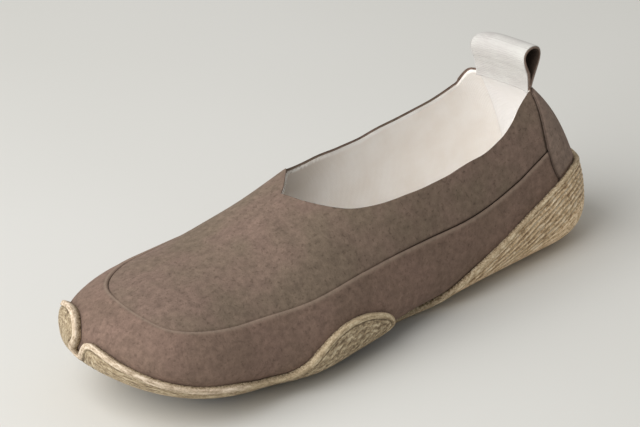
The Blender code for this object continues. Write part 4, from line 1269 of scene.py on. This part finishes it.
def make_patch(name, place, length, front, back, material, nodes, marks):
    """A thin closed patch between a front grid with its own growths and an even back."""
    count, rows = place.shape
    start = count * rows
    points = np.concatenate([lay(place, length, front), lay(place, length, back)])
    faces = grid_faces(count, rows, wrap_columns=False)
    faces += [face[::-1] for face in grid_faces(count, rows, start, wrap_columns=False)]
    numbers = np.arange(start).reshape(count, rows)
    border = np.concatenate([numbers[:, 0], numbers[-1, 1:], numbers[-2::-1, -1], numbers[0, -2:0:-1]])
    after = np.roll(border, -1)
    faces += np.stack([border, after, after + start, border + start], axis=-1).tolist()
    both = {mark: np.append(values.ravel(), np.zeros(start)) for mark, values in marks.items()}
    return make_piece(name, points, faces, material, nodes, both)


def rounded(room, radius):
    """Height share of a rounded edge at a distance inside it."""
    return np.sqrt(1 - np.clip(1 - room / radius, 0, 1) ** 2)


print("patches of", BAND_COLUMNS, "by", BAND_ROWS, "points")

# %% [markdown]
# Outside, the strip of felt runs from the sole up to the loop. Its edges are rounded down into the seam on
# each side, and the seams show as two dark lines of painted shade.

# %% Heel strip
STRIP_GROW = 0.05
STRIP_THICKNESS = 0.7
STRIP_ROUND = 1.1
STRIP_SEAM_SHADE = 0.75


def make_heel_strip():
    """Felt band over the back seam."""
    share = np.linspace(-1.0, 1.0, BAND_COLUMNS)[:, None]
    up = np.linspace(0.0, 1.0, BAND_ROWS)[None, :]
    half = strip_half(up)
    place = -share * half / 90.0
    columns = Columns(np.mod(place.ravel(), RING_END))
    low = (sole_reach(columns) + STRIP_SOLE_ROOM).reshape(place.shape)
    top = (collar_length(columns) - STRIP_COLLAR_ROOM).reshape(place.shape)
    length = low + (top - low) * up
    from_side = (1 - np.abs(share)) * np.radians(half) * columns.reach.reshape(place.shape)
    room = np.minimum(from_side, np.minimum(up, 1 - up) * (top - low))
    swell = felt_swell(lay(place, length, 0.0)).reshape(place.shape) / 2
    front = STRIP_GROW + swell + STRIP_THICKNESS * rounded(room, STRIP_ROUND)
    # Painted shade in the seams along both edges of the strip
    marks = {"shade": STRIP_SEAM_SHADE * np.exp(-(room / STRIP_GROOVE_WIDTH) ** 2)}
    return make_patch("heel_band", place, length, front, STRIP_GROW - STRIP_THICKNESS, strip_felt,
                      ["heel_strip"], marks)


make_heel_strip()

# %% [markdown]
# Inside, a white tape runs down from the loop to the footbed, and its two edges show as faint lines of
# painted shade.

# %% Heel tape
TAPE_OUTER_ANGLE, TAPE_INNER_ANGLE = 57.0, -41.0
TAPE_GROW = -2.55
TAPE_THICKNESS = 0.45
TAPE_ROUND = 0.6
TAPE_LOW = 36.0
TAPE_EDGE_SHADE = 0.25


def make_heel_tape():
    """White tape over the back seam inside the heel."""
    turn = np.linspace(TAPE_INNER_ANGLE, TAPE_OUTER_ANGLE, BAND_COLUMNS)[:, None]
    up = np.linspace(0.0, 1.0, BAND_ROWS)[None, :]
    place = np.broadcast_to(turn / 90.0, (BAND_COLUMNS, BAND_ROWS))
    columns = Columns(np.mod(place.ravel(), RING_END))
    top = collar_length(columns).reshape(place.shape)
    length = TAPE_LOW + (top - TAPE_LOW) * up
    width = math.radians(TAPE_OUTER_ANGLE - TAPE_INNER_ANGLE) * columns.reach.reshape(place.shape)
    across = (turn - TAPE_INNER_ANGLE) / (TAPE_OUTER_ANGLE - TAPE_INNER_ANGLE)
    room = np.minimum(across, 1 - across) * width
    front = TAPE_GROW - TAPE_THICKNESS * rounded(room, TAPE_ROUND)
    # Painted shade along both edges of the tape
    marks = {"shade": TAPE_EDGE_SHADE * np.exp(-(room / TAPE_ROUND) ** 2)}
    return make_patch("heel_tape", place, length, front, TAPE_GROW + TAPE_THICKNESS, footbed_cloth,
                      ["pull_loop"], marks)


make_heel_tape()

# %% [markdown]
# The pull loop is a strip folded into a drop-shaped ring: thick felt inside, a thin white tape outside. The
# felt is cut a little wider than the tape, so its dark edge shows at both ends of the loop. Each layer is a
# closed band: its outer face, a rounded edge, its inner face and the other edge, swept round the drop.

# %% Pull loop
WALL = 2.2
LOOP_OUTER_ANGLE = 59.0
LOOP_INNER_ANGLE = 43.0
LOOP_HEIGHT = 19.5
LOOP_LEAN = 1.6
LOOP_STRAIGHTEN = 0.85
STRAIGHT_FROM = 6.5
LOOP_HALF_DEPTH = 6.8
LOOP_TAPE = 1.5
LOOP_FOOT = 1.3
LOOP_COLLAR_ROOM = 0.7
HOLE_RISE = 3.6
HOLE_HEIGHT = 14.4
DROP_FULLNESS = 1.3
LOOP_SAG = 2.4
LOOP_SINK = 3.0
LOOP_STEPS = 72
LOOP_COLUMNS = 40
TAPE_SHARE = 0.30
TAPE_TRIM = 1.5
EDGE_BULGE = 0.6
BULGE_TURNS = np.linspace(0.0, math.pi, 7)[1:-1]
HOLE_SHADE = 0.9


def drop_outline(rise, height, half_depth, foot, count):
    """Drop-shaped ring seen from the side, as depth and height: narrow foot below, round top."""
    t = np.linspace(0.0, 2 * math.pi, count, endpoint=False)
    belly = half_depth * DROP_FULLNESS * np.sin(t) * np.sin(t / 2) ** 2
    ankle = foot * np.cos(t / 2) ** 4 * np.where(np.sin(t) >= -TINY, 1.0, -1.0)
    z = rise + height * (1 - np.cos(t)) / 2
    lean = LOOP_LEAN * np.sin(math.pi / 2 * z / LOOP_HEIGHT)
    return np.stack([belly + ankle + lean, z], axis=-1)


def make_band(name, outer, inner, trim, material, shade):
    """Closed band between two drop outlines, rounded along its two edges and in shade inside."""
    across = np.linspace(trim - LOOP_INNER_ANGLE, LOOP_OUTER_ANGLE - trim, LOOP_COLUMNS)
    edge = (1 - np.cos(BULGE_TURNS)) / 2
    bulge = EDGE_BULGE * np.sin(BULGE_TURNS)
    share = np.concatenate([np.zeros(LOOP_COLUMNS), edge, np.ones(LOOP_COLUMNS), edge[::-1]])
    wide = np.concatenate([across, across[-1] + bulge, across[::-1], across[0] - bulge[::-1]])
    columns = Columns(np.mod(wide / 90.0, RING_END))
    base = skin(columns, collar_angle(columns)[:, None], -WALL / 2)[:, 0]
    base[:, 2] = base[:, 2].max() + LOOP_COLLAR_ROOM
    mixed = outer[None] * (1 - share)[:, None, None] + inner[None] * share[:, None, None]
    bow = (base[:, 0] - base[:, 0].mean())[:, None]
    grid = np.repeat(base[:, None, :], len(outer), axis=1)
    low = np.clip(1 - mixed[..., 1] / STRAIGHT_FROM, 0, 1)
    grid[..., 0] -= mixed[..., 0] + LOOP_STRAIGHTEN * bow * (1 - low)
    sag = LOOP_SAG * np.clip(-wide / LOOP_INNER_ANGLE, 0, 1) ** 2
    grid[..., 2] += mixed[..., 1] * (1 - sag / LOOP_HEIGHT)[:, None] - LOOP_SINK * low
    faces = grid_faces(len(wide), len(outer), wrap_rows=True)
    marks = {"shade": np.repeat(shade * ease(2 * share - 1), len(outer))}
    return make_piece(name, grid.reshape(-1, 3), faces, material, ["pull_loop"], marks)


loop_outside = drop_outline(0.0, LOOP_HEIGHT, LOOP_HALF_DEPTH, LOOP_FOOT, LOOP_STEPS)
loop_inside = drop_outline(HOLE_RISE, HOLE_HEIGHT, LOOP_HALF_DEPTH - LOOP_TAPE, 0.0, LOOP_STEPS)
loop_middle = loop_outside * (1 - TAPE_SHARE) + loop_inside * TAPE_SHARE
make_band("loop_band", loop_outside, loop_middle, TAPE_TRIM, shaded_loop_tape, 0.0)
make_band("loop_facing", loop_middle, loop_inside, 0.0, strip_felt, HOLE_SHADE)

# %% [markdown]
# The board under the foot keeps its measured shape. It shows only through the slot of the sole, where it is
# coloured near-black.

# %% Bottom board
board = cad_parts["bottom_board"]
board.data.materials.clear()
board.data.materials.append(board_cloth)
print("board keeps", len(board.data.polygons), "measured faces")

# %% [markdown]
# The shoe stands on a pale floor in soft studio light: a wide light above the toe on the left of the
# picture, and an even pale sky.

# %% Floor and light
FLOOR_HALF = 6.0
FLOOR_GRAIN_SCALE = 3.0
FLOOR_TONES = ((0.3, linear("d2d1cc")), (0.7, linear("d6d5d1")))
FLOOR_SURFACE = {"Roughness": 0.9, "Specular IOR Level": 0.1}
KEY_PLACE = Vector((1.05, -0.2, 0.95))
KEY_SIZE = 1.8
KEY_WATTS = 31.0
SKY_TONE = "f6f5f2"
SKY_STRENGTH = 0.48


def make_floor():
    """Wide pale floor with a faint grain."""
    mesh = bpy.data.meshes.new("floor")
    mesh.from_pydata([(-FLOOR_HALF, -FLOOR_HALF, 0), (FLOOR_HALF, -FLOOR_HALF, 0),
                      (FLOOR_HALF, FLOOR_HALF, 0), (-FLOOR_HALF, FLOOR_HALF, 0)], [], [(0, 1, 2, 3)])
    material, tree, shader, position = new_material("floor_pale_paper", FLOOR_SURFACE)
    grain = add(tree, "ShaderNodeTexNoise", {"Scale": FLOOR_GRAIN_SCALE, "Detail": 2.0},
                {"Vector": position})
    colour = add(tree, "ShaderNodeValToRGB", {}, {"Fac": grain.outputs["Fac"]}, FLOOR_TONES)
    tree.links.new(colour.outputs["Color"], shader.inputs["Base Color"])
    mesh.materials.append(material)
    floor = bpy.data.objects.new("floor", mesh)
    bpy.context.scene.collection.objects.link(floor)


make_floor()
lamp = bpy.data.lights.new("key_light", "AREA")
lamp.size = KEY_SIZE
lamp.energy = KEY_WATTS
light = bpy.data.objects.new("key_light", lamp)
light.location = KEY_PLACE
light.rotation_euler = (AIM - KEY_PLACE).to_track_quat("-Z", "Y").to_euler()
bpy.context.scene.collection.objects.link(light)
world = bpy.data.worlds.new("studio")
world.use_nodes = True
sky = world.node_tree.nodes["Background"]
sky.inputs["Color"].default_value = linear(SKY_TONE)
sky.inputs["Strength"].default_value = SKY_STRENGTH
bpy.context.scene.world = world
bpy.context.scene.view_settings.view_transform = "Standard"
print("key light", KEY_WATTS, "W and a sky of", SKY_STRENGTH)
